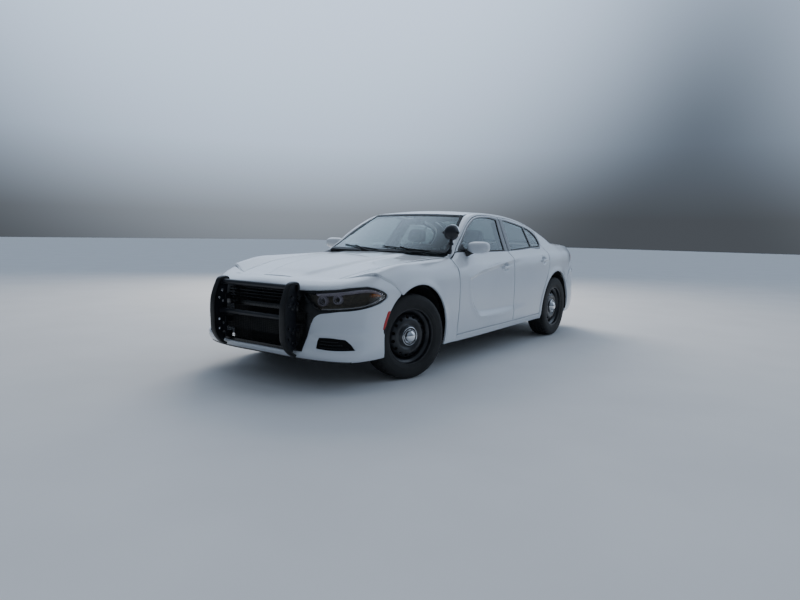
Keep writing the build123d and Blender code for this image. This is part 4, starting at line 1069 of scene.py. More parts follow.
LENS = [(0.0, 0.020), (0.010, 0.019), (0.019, 0.0155), (0.026, 0.009), (0.029, 0.0), (0.029, -0.004), (0.0, -0.004)]
RIM_ = [(0.0295, -0.004), (0.031, 0.006), (0.034, 0.008), (0.038, 0.005), (0.039, -0.004), (0.039, -0.03),
        (0.0295, -0.03)]
lamp_bits, ring_bits, shelf_bits, led = [], [], [], []
for x, z, r in ((0.600, 0.700, 1.0), (0.712, 0.712, 0.92)):
    at, n = lamp_at(x, z, 0.045)
    n = np.array([0.16, -1, 0.0])
    lamp_bits.append(face_to(turn([(a * r, b) for a, b in LENS], 32), at, n))
    ring_bits.append(face_to(turn([(a * r, b) for a, b in RIM_], 32, closed=True), at, n))
# light strip along the lamp's upper and lower edge, and finned shelf
for pts, r in (([(-0.850, 0.634), (-0.74, 0.646), (-0.62, 0.664), (-0.53, 0.686), (-0.462, 0.714)], 0.0030),):
    L = fr("sz", trace(pts, 0.012), (0, 4.3))
    led.append(sweep(front.pos(L) - front.normal(L) * 0.014, r, 10))
brow_top = trace([(-0.850, 0.750), (-0.74, 0.776), (-0.60, 0.791), (-0.52, 0.772), (-0.455, 0.742)], 0.012)
brow = [fr("sz", brow_top - [0, dz], (0, 4.3)) for dz in (0.0, 0.007, 0.014, 0.021)]
bp = [front.pos(q) - front.normal(q) * d for q, d in zip(brow, (0.016, 0.018, 0.026, 0.044))]
nb = len(brow_top)
brow_v = np.concatenate(bp)
brow_f = [(k * nb + i, k * nb + i + 1, (k + 1) * nb + i + 1, (k + 1) * nb + i) for k in range(3) for i in range(nb - 1)]
for z in np.arange(0.660, 0.770, 0.013):
    a = -0.84
    b = -0.56 + 0.25 * abs(z - 0.716)
    L = fr("sz", trace([(a, z - 0.012), (b, z)], 0.015), (0, 4.3))
    shelf_bits.append(sweep(front.pos(L) - front.normal(L) * 0.066, 0.0035, 8))
amber = fr("sz", trace([(-0.545, 0.735), (-0.505, 0.735), (-0.470, 0.727)], 0.012), (0, 4.3))
amb = sweep(front.pos(amber) - front.normal(amber) * 0.030, np.linspace(0.016, 0.008, len(amber)), 12)
pair("headlamp_projector", bits(lamp_bits), CLEAR, "root", "root", "lamp_front")
pair("headlamp_ring", bits(ring_bits), BROW, "root", "root", "lamp_front")
pair("headlamp_strip", bits(led), mat("light_strip", (0.70, 0.72, 0.74), (0.82, 0.83, 0.84), 20, (0.15, 0.25)), "root",
     "root", "lamp_front")
pair("headlamp_brow", (brow_v, brow_f), BROW, "root", "root", "lamp_front")
pair("headlamp_fins", bits(shelf_bits), BOWL, "root", "root", "black_plastic")
pair("headlamp_marker", amb, AMBER, "root", "root", "lamp_front")


# woven mesh in grille and intake, set back
def mesh_panel(x_lim, z0, z1, pitch, depth, r):
    out = []
    for z in np.arange(z0, z1, pitch):
        xl = x_lim(z)
        xs = np.linspace(-xl, xl, max(8, int(xl * 60)))
        ab = front.find("xz", np.stack([np.abs(xs), np.full(len(xs), z)], 1), (2, 5))
        p = front.pos(ab)
        p[:, 0] = xs
        p[:, 1] += depth
        p[:, 2] = z
        out.append(sweep(p, r, 6, cap=False))
    for x in np.arange(-0.54, 0.541, pitch * 1.6):
        zs = [z for z in np.arange(z0, z1 + 1e-6, pitch) if x_lim(z) >= abs(x)]
        if len(zs) < 2:
            continue
        zs = np.linspace(zs[0], zs[-1], 10)
        ab = front.find("xz", np.stack([np.full(10, abs(x)), zs], 1), (2, 5))
        p = front.pos(ab)
        p[:, 0], p[:, 2] = x, zs
        p[:, 1] += depth + 0.003
        out.append(sweep(p, r, 6, cap=False))
    return out


web = mesh_panel(lambda z: 0.415, 0.652, 0.752, 0.0125, 0.030, 0.0016)
web += mesh_panel(lambda z: np.interp(z, [0.318, 0.34, 0.40, 0.50, 0.60], [0.42, 0.426, 0.455, 0.482, 0.488]), 0.326,
                  0.604, 0.0140, 0.034, 0.0016)
make("grille_mesh", *bits(web), SHADE_BLACK, "root", "black_plastic")
slats = []
for z in (0.676, 0.701, 0.726):
    xs = np.linspace(-0.408, 0.408, 41)
    ab = front.find("xz", np.stack([np.abs(xs), np.full(41, z)], 1), (2, 5))
    p = front.pos(ab)
    sec = np.array([(-0.010, -0.0035), (0.006, -0.0045), (0.010, 0.0), (0.006, 0.0045), (-0.010, 0.0035)])
    V = np.concatenate([[(xs[i], p[i, 1] + 0.022 - a, z + b) for a, b in sec] for i in range(41)])
    F = [(i * 5 + j, i * 5 + (j + 1) % 5, (i + 1) * 5 + (j + 1) % 5, (i + 1) * 5 + j) for i in range(40)
         for j in range(5)] + [(4, 3, 2, 1, 0), tuple(200 + j for j in range(5))]
    slats.append((V, F))
make("grille_slats", *bits(slats), MASKM, "root", "black_plastic")
# dark core behind the meshes, and fog pockets: black parts made near-black so that they also carry painted shade of the
# deep openings
core = Sheet(lambda ab: np.stack([ab[:, 0], -0.812 + 0.10 * (ab[:, 0] / 0.55) ** 2, ab[:, 1]], 1))
core_loop = trace([(-0.46, 0.290), (0.46, 0.290), None, (0.545, 0.60), (0.545, 0.77), None, (-0.545, 0.77),
                   (-0.545, 0.60), None, (-0.46, 0.290)], 0.03, closed=True, smooth=False)
cv, cf = skin_mesh(core, core_loop, step=0.04, deep=0.01, out=1)
fins = []
for z in np.arange(0.31, 0.75, 0.011):
    xs = np.linspace(-0.44, 0.44, 25)
    fins.append(sweep(np.stack([xs, -0.816 + 0.10 * (xs / 0.55) ** 2, np.full(25, z)], 1), 0.003, 5))
make("radiator_core", *bits([(cv, cf)] + fins), SHADE_BLACK, "root", "black_plastic")
pocket_bits = []
pk = skin_mesh(front, shrink(tidy(fog if area(fog) > 0 else fog[::-1]), -0.004), step=0.02, deep=0.004, lift=-0.030)
fg = tidy(fog if area(fog) > 0 else fog[::-1])
fp, fn = front.pos(fg), front.normal(fg)
rows_ = [fp - fn * d for d in (0.004, 0.014, 0.024, 0.034)]
n = len(fg)
wf = [(k * n + i, k * n + (i + 1) % n, (k + 1) * n + (i + 1) % n, (k + 1) * n + i) for k in range(3) for i in range(n)]
pair("fog_pocket", bits([pk, (np.concatenate(rows_), wf)]), SHADE_BLACK, "root", "root", "black_plastic")
slat = fr("xz", trace([(0.615, 0.352), (0.72, 0.348), (0.825, 0.350)], 0.014), (1.5, 4.2))
ledge = [sweep(front.pos(slat) - front.normal(slat) * 0.018 + np.array([0, 0, dz]), 0.005, 8)
         for dz in (0.0, 0.028, 0.052)]
ledge[1] = sweep((front.pos(slat) - front.normal(slat) * 0.018 + np.array([0, 0, 0.026]))[:-3], 0.004, 8)
ledge[2] = sweep((front.pos(slat) - front.normal(slat) * 0.018 + np.array([0, 0, 0.050]))[:-5], 0.004, 8)
pair("fog_pocket_bars", bits(ledge), MASKM, "root", "root", "black_plastic")

# red side marker on the bumper's rear edge
marker = fr("sz", trace([(-0.352, 0.600), (-0.390, 0.606), (-0.420, 0.560), (-0.454, 0.480), (-0.458, 0.464), None,
                         (-0.420, 0.458), (-0.400, 0.462), (-0.372, 0.540), (-0.352, 0.600)], 0.008), (0, 1.6))
mk = skin_mesh(front, marker, step=0.012, deep=0.006, lift=0.0015, hem=0.002, corner=0.002)
MARK = mat("marker_red", (0.42, 0.010, 0.012), (0.52, 0.018, 0.018), 30.0, (0.12, 0.2))
pair("side_marker", mk, MARK, "root", "root", "lamp_front")

# splitter under the chin
sp_half = np.concatenate([[(0.004, FM)], np.stack([np.full(50, 0.004), np.linspace(FM - 0.02, 0.35, 50)], 1)])
P = front.pos(sp_half)
N = front.normal(sp_half)
P = P - N * 0.012
P[:, 2] = 0.240
P2 = P.copy()
P2[:, 0] *= -1
line = np.concatenate([P2[::-1], P[1:]])
make("chin_strip", *sweep(line, 0.011, 10), PLAST, "root", "black_plastic")

# ---------------------------------------------------------------- rear bumper cover
RB = [
    [(880, 3482, 252), (868, 3640, 252), (826, 3790, 250), (690, 3965, 250), (400, 4043, 250), (0, 4056, 250)],
    [(898, 3490, 300), (890, 3640, 300), (846, 3800, 300), (706, 3990, 300), (410, 4073, 300), (0, 4089, 300)],
    [(922, 3444, 560), (912, 3620, 560), (862, 3806, 560), (716, 4000, 560), (410, 4088, 560), (0, 4101, 560)],
    [(921, 3434, 622), (909, 3620, 630), (864, 3806, 640), (717, 4002, 640), (410, 4089, 640), (0, 4102, 640)],
    [(911, 3484, 700), (902, 3650, 715), (856, 3812, 730), (710, 4000, 740), (410, 4085, 750), (0, 4099, 750)],
    [(897, 3548, 790), (886, 3680, 806), (830, 3806, 818), (690, 3984, 832), (400, 4064, 836), (0, 4083, 836)],
    [(866, 3556, 802), (850, 3700, 816), (800, 3800, 828), (664, 3960, 842), (390, 4040, 846), (0, 4062, 846)]]
rb_grid = np.array(RB, float) / 1000
rb_keys = np.concatenate([[0], np.cumsum(np.linalg.norm(np.diff(rb_grid, axis=0), axis=2).mean(1))])
rear = Net(rb_keys, rb_grid, [0, .5, .46, .46, .5, .5])
RM = rear.ww[5]
rb_arc = [(3.052 + 0.442 * math.cos(a), 0.36 + 0.442 * math.sin(a)) for a in np.radians(np.linspace(-14.3, 28.0, 24))]
half = np.concatenate([
    [(0.0, RM)],
    np.stack([np.zeros(60), np.linspace(RM - 0.01, 0.02, 60)], 1),
    rear.find("sz", rb_arc, (0, 1.5)),
    rear.find("sz", trace([(3.441, 0.572), (3.446, 0.622), (3.568, 0.786), (3.62, 0.800)], 0.014), (0, 2))[1:],
    np.stack([np.full(60, rb_keys[-1] - 0.001), np.linspace(0.02, RM - 0.01, 60)], 1),
    [(rb_keys[-1] - 0.001, RM)]])
rb_outer = np.concatenate([half, np.stack([half[::-1][1:-1, 0], 2 * RM - half[::-1][1:-1, 1]], 1)])
# lower black panel and blank plate recess
def rr(axes, pts, t=(0, 5)):
    return rear.find(axes, pts, t)
low_half = rr("xz", trace([(0.0, 0.300), (0.35, 0.298), (0.66, 0.300), None, (0.705, 0.335), None, (0.690, 0.374), None,
                           (0.50, 0.388), (0.30, 0.396), (0.0, 0.400)], 0.014), (2, 5))
low_loop = np.concatenate([low_half, np.stack([low_half[::-1][1:-1, 0], 2 * RM - low_half[::-1][1:-1, 1]], 1)])
pl_half = rr("xz", trace([(0.0, 0.566), (0.168, 0.566), None, (0.168, 0.734), None, (0.0, 0.734)], 0.014), (3, 5))
pl_loop = np.concatenate([pl_half, np.stack([pl_half[::-1][1:-1, 0], 2 * RM - pl_half[::-1][1:-1, 1]], 1)])
rb = skin_mesh(rear, rb_outer, [low_loop, pl_loop], deep=0.016, out=-1, corner=0.006, hem=0.0035, **tight)
make("rear_bumper_skin", *rb, PAINT, "root", "body_paint", "rear_bumper")
lw = tidy(low_loop if area(low_loop) > 0 else low_loop[::-1])
dif = skin_mesh(rear, shrink(lw, -0.006), [], step=0.024, deep=0.012, lift=-0.010, out=-1)
make("rear_valance", *dif, PLAST, "root", "black_plastic")
pw = tidy(pl_loop if area(pl_loop) > 0 else pl_loop[::-1])
rec = skin_mesh(rear, shrink(pw, -0.006), step=0.03, deep=0.006, lift=-0.016, out=-1)
make("plate_recess", *rec, PLAST, "root", "black_plastic")
pv, pf = prism([(-0.152, 0.575), (0.152, 0.575), (0.152, 0.728), (-0.152, 0.728)], "s", 4.087, 4.0905, 0.001)
pv[:, 2] -= 0.0015
make("rear_plate_blank", pv, pf, PLATE_M, "root", "trim_plastic")
refl = rr("xz", trace([(0.560, 0.462), (0.70, 0.468), None, (0.700, 0.492), (0.562, 0.486), None, (0.560, 0.462)],
                      0.01), (2, 4))
pair("rear_reflector", skin_mesh(rear, refl, step=0.014, deep=0.005, lift=0.0012, hem=0.0015, out=-1, corner=0.002),
     RED, "root", "root", "lamp_rear")

# ---------------------------------------------------------------- screens, cowl, wipers
def screen(rows, crown):
    z_, s0_, x1_, s1_ = [np.array(c, float) / 1000 for c in zip(*rows)]
    order = np.argsort(z_)
    z_, s0_, x1_, s1_ = z_[order], s0_[order], x1_[order], s1_[order]
    d = np.hypot(z_[-1] - z_[0], s0_[-1] - s0_[0])

    def fn(ab):
        k = ab[:, 1] / d
        z = z_[0] + (z_[-1] - z_[0]) * k
        q = lambda c: np.polyval(np.polyfit(z_, c, 2), z)
        u = ab[:, 0] / q(x1_)
        s = q(s0_) + (q(s1_) - q(s0_)) * np.abs(u) ** 2.1
        return np.stack([ab[:, 0], s, z - crown * np.clip(k, 0, 1) ** 3 * np.abs(u) ** 2.2], 1)

    return Sheet(fn), d, (lambda k: np.polyval(np.polyfit(z_, x1_, 2), z_[0] + (z_[-1] - z_[0]) * k))


WS, wd, wx = screen([(1036, 545, 735, 742), (1240, 920, 642, 1060), (1426, 1275, 556, 1338)], 0.011)
BS, bd, bx = screen([(1432, 2585, 548, 2566), (1290, 2940, 580, 2880), (1150, 3290, 610, 3200)], 0.032)


def screen_loop(d, x1, m, side=0.0):
    ks = np.linspace(m / d, 1 - m / d, 30)
    L = [(x1(k) - side, k * d) for k in ks]
    bot = [(x, m) for x in np.linspace(-L[0][0], L[0][0], 40)[:-1]]
    top = [(x, d - m) for x in np.linspace(L[-1][0], -L[-1][0], 40)[1:-1]]
    return np.array(bot + L + top + [(-x, y) for x, y in L[::-1]][:-1])


make("windshield_glass", *skin_mesh(WS, screen_loop(wd, wx, 0.0, 0.0), step=0.05, deep=0.0045, hem=0.001, out=-1,
                                    corner=0.012), GLASS, "root", "glass", "windshield")
frit = skin_mesh(WS, screen_loop(wd, wx, 0.002, 0.002), [screen_loop(wd, wx, 0.045, 0.026)], step=0.03, deep=0.001,
                 hem=0.0005, out=-1, lift=-0.0075, corner=0.02)
make("windshield_band", *frit, SEAL, "root", "black_plastic")
make("rear_window_glass", *skin_mesh(BS, screen_loop(bd, bx, 0.0, 0.0), step=0.05, deep=0.0045, hem=0.001, out=1,
                                     corner=0.012), GLASS, "root", "glass", "rear_window")
frit = skin_mesh(BS, screen_loop(bd, bx, 0.002, 0.002), [screen_loop(bd, bx, 0.040, 0.040)], step=0.03, deep=0.001,
                 hem=0.0005, out=1, lift=-0.0075, corner=0.02)
make("rear_window_band", *frit, SEAL, "root", "black_plastic")
heat = []
for k in np.linspace(0.14, 0.86, 13):
    xs = np.linspace(-(bx(k) - 0.07), bx(k) - 0.07, 30)
    heat.append(sweep(BS.pos(np.stack([xs, np.full(30, k * bd)], 1)) + [0, -0.006, -0.002], 0.0007, 4))
make("rear_window_heater", *bits(heat), SEAL, "root", "black_plastic")
seals = []
for net_, d_, x_ in ((WS, wd, wx), (BS, bd, bx)):
    lp = screen_loop(d_, x_, -0.002, -0.003)
    p = net_.pos(np.concatenate([lp, lp[:3]]))
    seals.append(sweep(p + [0, 0.004 if net_ is WS else -0.004, -0.003], 0.0075, 8, cap=False))
make("screen_seals", *bits(seals), SEAL, "root", "black_plastic")


def cowl_fn(ab):
    x, k = ab[:, 0], ab[:, 1] / 0.12
    a = np.abs(x)
    s_h = np.interp(a, [0, .26, .52, .64, .732, .770], [.520, .534, .590, .628, .655, .664]) - 0.030
    s_g = 0.545 + 0.197 * (a / 0.735) ** 2.1 + 0.020
    z_h = np.interp(a, [0, .26, .52, .64, .732], [1.004, 1.002, .993, .985, .975])
    z_g = np.full(len(a), 1.024)
    return np.stack([x, s_h + (s_g - s_h) * k, z_h + (z_g - z_h) * k - 0.012 * np.sin(np.clip(k, 0, 1) * math.pi)], 1)


cowl_loop = trace([(-0.766, 0.0), (0.766, 0.0), None, (0.766, 0.12), None, (-0.766, 0.12), None, (-0.766, 0.0)], 0.03,
                  closed=True, smooth=False)
cow = skin_mesh(Sheet(cowl_fn), cowl_loop, step=0.03, deep=0.006)
ribs = []
for x in np.arange(-0.68, 0.69, 0.02):
    p = cowl_fn(np.stack([np.full(8, x), np.linspace(0.03, 0.10, 8)], 1)) + [0, 0, 0.003]
    ribs.append(sweep(p, 0.0025, 5))
make("cowl_panel", *bits([cow] + ribs), PLAST, "root", "black_plastic")
wip = []
for x0, x1, k1 in ((0.56, 0.06, 0.07), (0.02, -0.52, 0.075)):
    base = cowl_fn(np.array([[x0, 0.075]]))[0] + [0, 0, 0.016]
    xs = np.linspace(x0 + 0.03, x1, 20)
    blade = WS.pos(np.stack([xs, 0.025 + (x0 + 0.03 - xs) / (x0 - x1) * k1], 1)) + [0, -0.008, 0.010]
    wip.append(sweep(blade, np.concatenate([[0.003], np.full(18, 0.0055), [0.003]]), 8))
    mid = blade[11] + [0, -0.006, 0.012]
    arm = trace([tuple(base), tuple(base + [-0.05, -0.004, 0.014]), tuple(mid)], 0.03)
    wip.append(sweep(arm, np.linspace(0.010, 0.006, len(arm)), 8))
    wip.append(turn([(0, 0.016), (0.012, 0.014), (0.016, 0.006), (0.017, -0.02)], 20, tuple(base), "z"))
make("wipers", *bits(wip), SEAL, "root", "black_plastic")
fill_half = np.concatenate([[(3.298, WM)], plan(cab, trace([(0.02, 3.298), (0.30, 3.278), (0.612, 3.206), None,
                            (0.614, 3.334), None, (0.30, 3.3365), (0.02, 3.3365)], 0.02), (5.2, 7)), [(3.3365, WM)]])
make("deck_filler", *skin_mesh(cab, whole(fill_half), deep=0.010, hem=0.002, step=0.024, corner=0.004, lift=-0.002),
     PAINT, "root", "body_paint")

# ---------------------------------------------------------------- wheels
HOLES = [(0.163 * math.cos(a), 0.163 * math.sin(a)) for a in np.linspace(0, 2 * math.pi, 15, endpoint=False)]
DISC_R = [0.0, 0.040, 0.060, 0.078, 0.086, 0.094, 0.104, 0.118, 0.132, 0.150, 0.166, 0.178, 0.188, 0.194]
DISC_X = [0.070, 0.070, 0.070, 0.070, 0.062, 0.060, 0.065, 0.071, 0.072, 0.066, 0.055, 0.042, 0.024, 0.006]


def disc_fn(ab):
    r = np.hypot(ab[:, 0], ab[:, 1])
    return np.stack([spline(DISC_R, np.array(DISC_X)[:, None])(r)[:, 0], ab[:, 0], ab[:, 1]], 1)


def circle(cx, cy, r, n):
    a = np.linspace(0, 2 * math.pi, n, endpoint=False)
    return np.stack([cx + r * np.cos(a), cy + r * np.sin(a)], 1)


disc = skin_mesh(Sheet(disc_fn), circle(0, 0, 0.193, 96), [circle(x, y, 0.0135, 20) for x, y in HOLES], step=0.011,
                 deep=0.003, hem=0.0016, corner=0)
barrel = turn([(0.231, 0.098), (0.2365, 0.0985), (0.238, 0.094), (0.236, 0.088), (0.231, 0.084), (0.2295, 0.070),
               (0.213, 0.062), (0.205, 0.046), (0.197, 0.020), (0.197, -0.055), (0.206, -0.066), (0.2295, -0.075),
               (0.231, -0.088), (0.236, -0.094), (0.236, -0.098), (0.231, -0.098), (0.225, -0.090), (0.223, -0.078),
               (0.200, -0.068), (0.1915, -0.055), (0.1915, 0.018), (0.199, 0.044), (0.208, 0.058), (0.2235, 0.067),
               (0.2262, 0.078), (0.2262, 0.090)], 96, closed=True)
lugs = []
for i in range(5):
    a = math.radians(72 * i + 18)
    c = (0.0, 0.0572 * math.cos(a), 0.0572 * math.sin(a))
    lugs.append(turn([(0.0, 0.078), (0.008, 0.077), (0.0095, 0.072), (0.0095, 0.060)], 6, c))
steel = bits([disc, barrel])
cap = bits([turn([(0.0, 0.1170), (0.012, 0.1164), (0.024, 0.1142), (0.034, 0.1104), (0.042, 0.1052), (0.0475, 0.0990),
                  (0.0515, 0.0920), (0.0540, 0.0860), (0.0560, 0.0820), (0.0580, 0.0800), (0.0600, 0.0796)], 64),
            turn([(0.0715, 0.0700), (0.0715, 0.0800), (0.0730, 0.0825), (0.0755, 0.0830), (0.0780, 0.0815), (0.0795, 0.0780),
                  (0.0795, 0.0680)], 64)])
well = turn([(0.0595, 0.0797), (0.0610, 0.0770), (0.0640, 0.0755), (0.0690, 0.0755), (0.0712, 0.0765)], 64)
# tyre: cross-section, then grooves and sipes
SEC = [(0.229, 0.085), (0.2335, 0.0955), (0.240, 0.1005), (0.2440, 0.1005), (0.2470, 0.1035), (0.256, 0.1065),
       (0.268, 0.1095), (0.271, 0.1105), (0.274, 0.1100), (0.288, 0.1120), (0.302, 0.1125), (0.316, 0.1118),
       (0.319, 0.1122), (0.322, 0.1114), (0.332, 0.1090), (0.3385, 0.1068), (0.3455, 0.1030), (0.3515, 0.0980),
       (0.3555, 0.0920), (0.3578, 0.0850), (0.3590, 0.0740), (0.3595, 0.0640)]
TREAD = []
for x in (0.0600, 0.0575, 0.0525, 0.0500, 0.0340, 0.0260, 0.0235, 0.0185, 0.0160, 0.0):
    deep_ = x in (0.0575, 0.0525, 0.0235, 0.0185)
    TREAD.append((0.3600 - (0.0075 if deep_ else 0.0), x))
half_sec = SEC + TREAD
full = half_sec + [(r, -x) for r, x in half_sec[-2::-1]]
full = full + [(0.233, -0.075), (0.3300, -0.094), (0.3450, -0.060), (0.3475, 0.0), (0.3450, 0.060), (0.3300, 0.094),
               (0.233, 0.075)]
pr = np.array(full)
NT = 210
ang = np.linspace(0, 2 * math.pi, NT, endpoint=False)
R = np.repeat(pr[None, :, 0], NT, 0)
for i in range(NT):
    for k, (r, x) in enumerate(full):
        ax = abs(x)
        if r > 0.3575 and 0.060 < ax < 0.0925 and i % 6 in (0, 1) and k < len(full) - 7:
            R[i, k] -= 0.006
        elif r > 0.3585 and 0.026 <= ax <= 0.050 and (i + (3 if x > 0 else 0)) % 6 == 0:
            R[i, k] -= 0.005
        elif r > 0.3585 and ax <= 0.016 and (i + 2) % 5 == 0:
            R[i, k] -= 0.003
        elif 0.340 < r < 0.3575 and ax > 0.09 and i % 6 == 0 and k < len(full) - 7:
            R[i, k] -= 0.0025
m_ = len(full)
TV = np.stack([np.broadcast_to(pr[:, 1], (NT, m_)), R * np.cos(ang)[:, None], R * np.sin(ang)[:, None]], 2).reshape(-1, 3)
TF = [(i * m_ + k, ((i + 1) % NT) * m_ + k, ((i + 1) % NT) * m_ + (k + 1) % m_, i * m_ + (k + 1) % m_)
      for i in range(NT) for k in range(m_)]
KING, TRF, TRR, REST = 0.715, 0.805, 0.810, math.radians(-16)


def wheel_at(s, sign):
    if s:
        return np.array([sign * TRR, s, 0.36]), (0.0 if sign > 0 else math.pi)
    r = (TRF - KING) * sign
    return np.array([sign * KING + r * math.cos(REST), r * math.sin(REST), 0.36]), REST + (0 if sign > 0 else math.pi)


def turned_to(vf, c, h):
    v = np.asarray(vf[0], float)
    out = v.copy()
    out[:, 0] = v[:, 0] * math.cos(h) - v[:, 1] * math.sin(h)
    out[:, 1] = v[:, 0] * math.sin(h) + v[:, 1] * math.cos(h)
    return out + c, vf[1]


for nm, s, sign in (("front_left", 0, 1), ("front_right", 0, -1), ("rear_left", 3.052, 1), ("rear_right", 3.052, -1)):
    c, h = wheel_at(s, sign)
    body = f"wheel_{nm}"
    make(f"rim_{nm}", *turned_to(steel, c, h), STEEL, body, "steel_wheel", f"wheel_{nm}", sharp=40)
    make(f"hub_well_{nm}", *turned_to(well, c, h), GLOSS, body, "steel_wheel")
    make(f"hub_cap_{nm}", *turned_to(cap, c, h), CHROME, body, "steel_wheel", sharp=30)
    make(f"tyre_skin_{nm}", *turned_to((TV, TF), c, h), RUBBER, body, "tyre", f"tyre_{nm}", sharp=32)
    valve = sweep(np.array([[0.040, 0.176, 0.0], [0.060, 0.176, 0.0], [0.074, 0.172, 0.0]]), 0.004, 8)
    make(f"valve_{nm}", *turned_to(valve, c, h), SEAL, body, "tyre")

# ---------------------------------------------------------------- push bumper
BUFFER = mat("buffer_rubber", (0.003, 0.003, 0.003), (0.007, 0.007, 0.007), 16.0, (0.38, 0.5), bump=0.2, bump_scale=700)
PL = [(-0.924, 0.835), (-0.955, 0.833), (-0.985, 0.822), (-1.012, 0.780), (-1.038, 0.720), (-1.056, 0.660),
      (-1.062, 0.600), (-1.060, 0.480), (-1.050, 0.380), (-1.020, 0.325), (-0.985, 0.285), (-0.938, 0.254), None,
      (-0.932, 0.304), (-0.905, 0.316), None, (-0.900, 0.700), (-0.902, 0.822), (-0.924, 0.835)]
plate_loop = trace(PL, 0.012, closed=True)
pl_sheet = Sheet(lambda ab: np.stack([np.full(len(ab), 0.415), ab[:, 0], ab[:, 1]], 1))
holes = [circle(s, z, r, 20) for s, z, r in ((-0.955, 0.715, 0.010), (-0.985, 0.655, 0.010), (-0.950, 0.625, 0.009),
                                              (-0.985, 0.475, 0.010), (-0.948, 0.440, 0.010), (-0.985, 0.395, 0.009),
                                              (-0.945, 0.365, 0.009))]
inner_plate = shrink(plate_loop if area(plate_loop) > 0 else plate_loop[::-1], 0.006)
plate = skin_mesh(pl_sheet, inner_plate, holes, step=0.022, deep=0.006, hem=0.002, corner=0)
# rubber buffer round the plate's front edge: a rounded strip 58 mm wide
edge = trace([(-0.893, 0.760), (-0.893, 0.812), (-0.902, 0.828)] + PL[:12], 0.012)
tan = np.gradient(edge, axis=0)
tan /= np.linalg.norm(tan, axis=1, keepdims=True)
nin = np.stack([-tan[:, 1], tan[:, 0]], 1)
if (nin[len(nin) // 2] @ np.array([1.0, 0.0])) < 0:
    nin = -nin
sec = [(0.0125, 0.026), (0.006, 0.0285), (0.0015, 0.022), (0.0, 0.010), (0.0, -0.010), (0.0015, -0.022),
       (0.006, -0.0285), (0.0125, -0.026), (0.022, -0.027), (0.024, -0.018), (0.024, 0.018), (0.022, 0.027)]
SV = np.concatenate([[(0.410 + w, *(edge[i] + nin[i] * d)) for d, w in sec] for i in range(len(edge))])
SV[:, 1] = np.maximum(SV[:, 1], -1.0615)
ns = len(sec)
SF = [(i * ns + j, i * ns + (j + 1) % ns, (i + 1) * ns + (j + 1) % ns, (i + 1) * ns + j)
      for i in range(len(edge) - 1) for j in range(ns)]
SF += [tuple(range(ns))[::-1], tuple((len(edge) - 1) * ns + j for j in range(ns))]
plates = [plate, flip_x(plate)]
strip = [(SV, SF), flip_x((SV, SF))]
tubes = []
for s, z, r in ((-0.955, 0.790, 0.0225), (-0.968, 0.552, 0.0200)):
    tubes.append(sweep(np.array([[-0.41, s, z], [-0.2, s, z], [0.0, s, z], [0.2, s, z], [0.41, s, z]]), r, 24))
for k in (1, -1):
    for s, z, r in ((-0.955, 0.790, 0.0225), (-0.968, 0.552, 0.0200)):
        tubes.append(turn([(r, 0.0), (r + 0.005, 0.002), (r + 0.005, 0.010), (r, 0.012)], 24, (k * 0.400, s, z)))
    for z in (0.345, 0.470, 0.665):
        arm = prism([(-0.935, z - 0.022), (-0.862, z - 0.026), (-0.862, z + 0.026), (-0.935, z + 0.022)], "x",
                    k * 0.398 - 0.005, k * 0.398 + 0.005, 0.0015)
        tubes.append(arm)
        for ds in (-0.915, -0.885):
            tubes.append(turn([(0, 0.012), (0.009, 0.011), (0.011, 0.007), (0.011, 0.0)], 6, (k * 0.421, ds - 0.02, z)))
make("push_bumper_frame", *bits(plates + tubes), BAR, "root", "push_bar", "push_bumper")
make("push_bumper_buffers", *bits(strip), BUFFER, "root", "push_bar")

# ---------------------------------------------------------------- spotlight
sc = np.array([0.845, 0.0, 1.235])
dome = turn([(0.0, 0.566), (0.016, 0.5675), (0.034, 0.573), (0.050, 0.583), (0.062, 0.598), (0.069, 0.616),
             (0.072, 0.634), (0.0725, 0.645)], 48, (sc[0], 0, sc[2]), "y")
bezel = turn([(0.0725, 0.643), (0.0742, 0.646), (0.0742, 0.656), (0.0715, 0.661), (0.066, 0.662), (0.0640, 0.658),
              (0.0640, 0.648)], 48, (sc[0], 0, sc[2]), "y")
lens = turn([(0.0, 0.6585), (0.03, 0.6575), (0.055, 0.655), (0.0645, 0.652), (0.0645, 0.650), (0.055, 0.652),
             (0.03, 0.6545), (0.0, 0.6555)], 48, (sc[0], 0, sc[2]), "y")
bowl = turn([(0.0, 0.590), (0.020, 0.592), (0.045, 0.606), (0.060, 0.628), (0.0645, 0.648)], 48, (sc[0], 0, sc[2]), "y")
yoke = []
for k in (1, -1):
    yoke.append(turn([(0, 0.0), (0.011, 0.0), (0.013, 0.004), (0.013, 0.012), (0.010, 0.014), (0, 0.014)], 24,
                     (sc[0] + (0.070 if k > 0 else -0.084), 0.625, 1.235)))
arm = trace([(0.845, 0.632, 1.170), (0.840, 0.640, 1.150), (0.822, 0.668, 1.118), (0.796, 0.706, 1.086),
             (0.772, 0.735, 1.064)], 0.008)
yoke.append(sweep(arm, np.interp(np.linspace(0, 1, len(arm)), [0, 0.2, 1], [0.016, 0.011, 0.013]), 16))
yoke.append(turn([(0.0, 0.0), (0.019, 0.0), (0.024, 0.006), (0.024, 0.018), (0.016, 0.030), (0.012, 0.050)], 28,
                 (0.845, 0.632, 1.118), "z"))
foot = sweep(np.array([[0.792, 0.712, 1.078], [0.776, 0.728, 1.066], [0.760, 0.744, 1.052]]), [0.015, 0.022, 0.026], 20)
make("spotlight_shell", *bits([dome]), BAR, "root", "black_plastic", "spotlight")
make("spotlight_bezel", *bits([bezel]), CHROME, "root", "lamp_front")
make("spotlight_lens", *bits([lens]), CLEAR, "root", "glass")
make("spotlight_reflector", *bits([bowl]), CHROME, "root", "lamp_front")
make("spotlight_arm", *bits(yoke + [foot]), BAR, "root", "black_plastic")

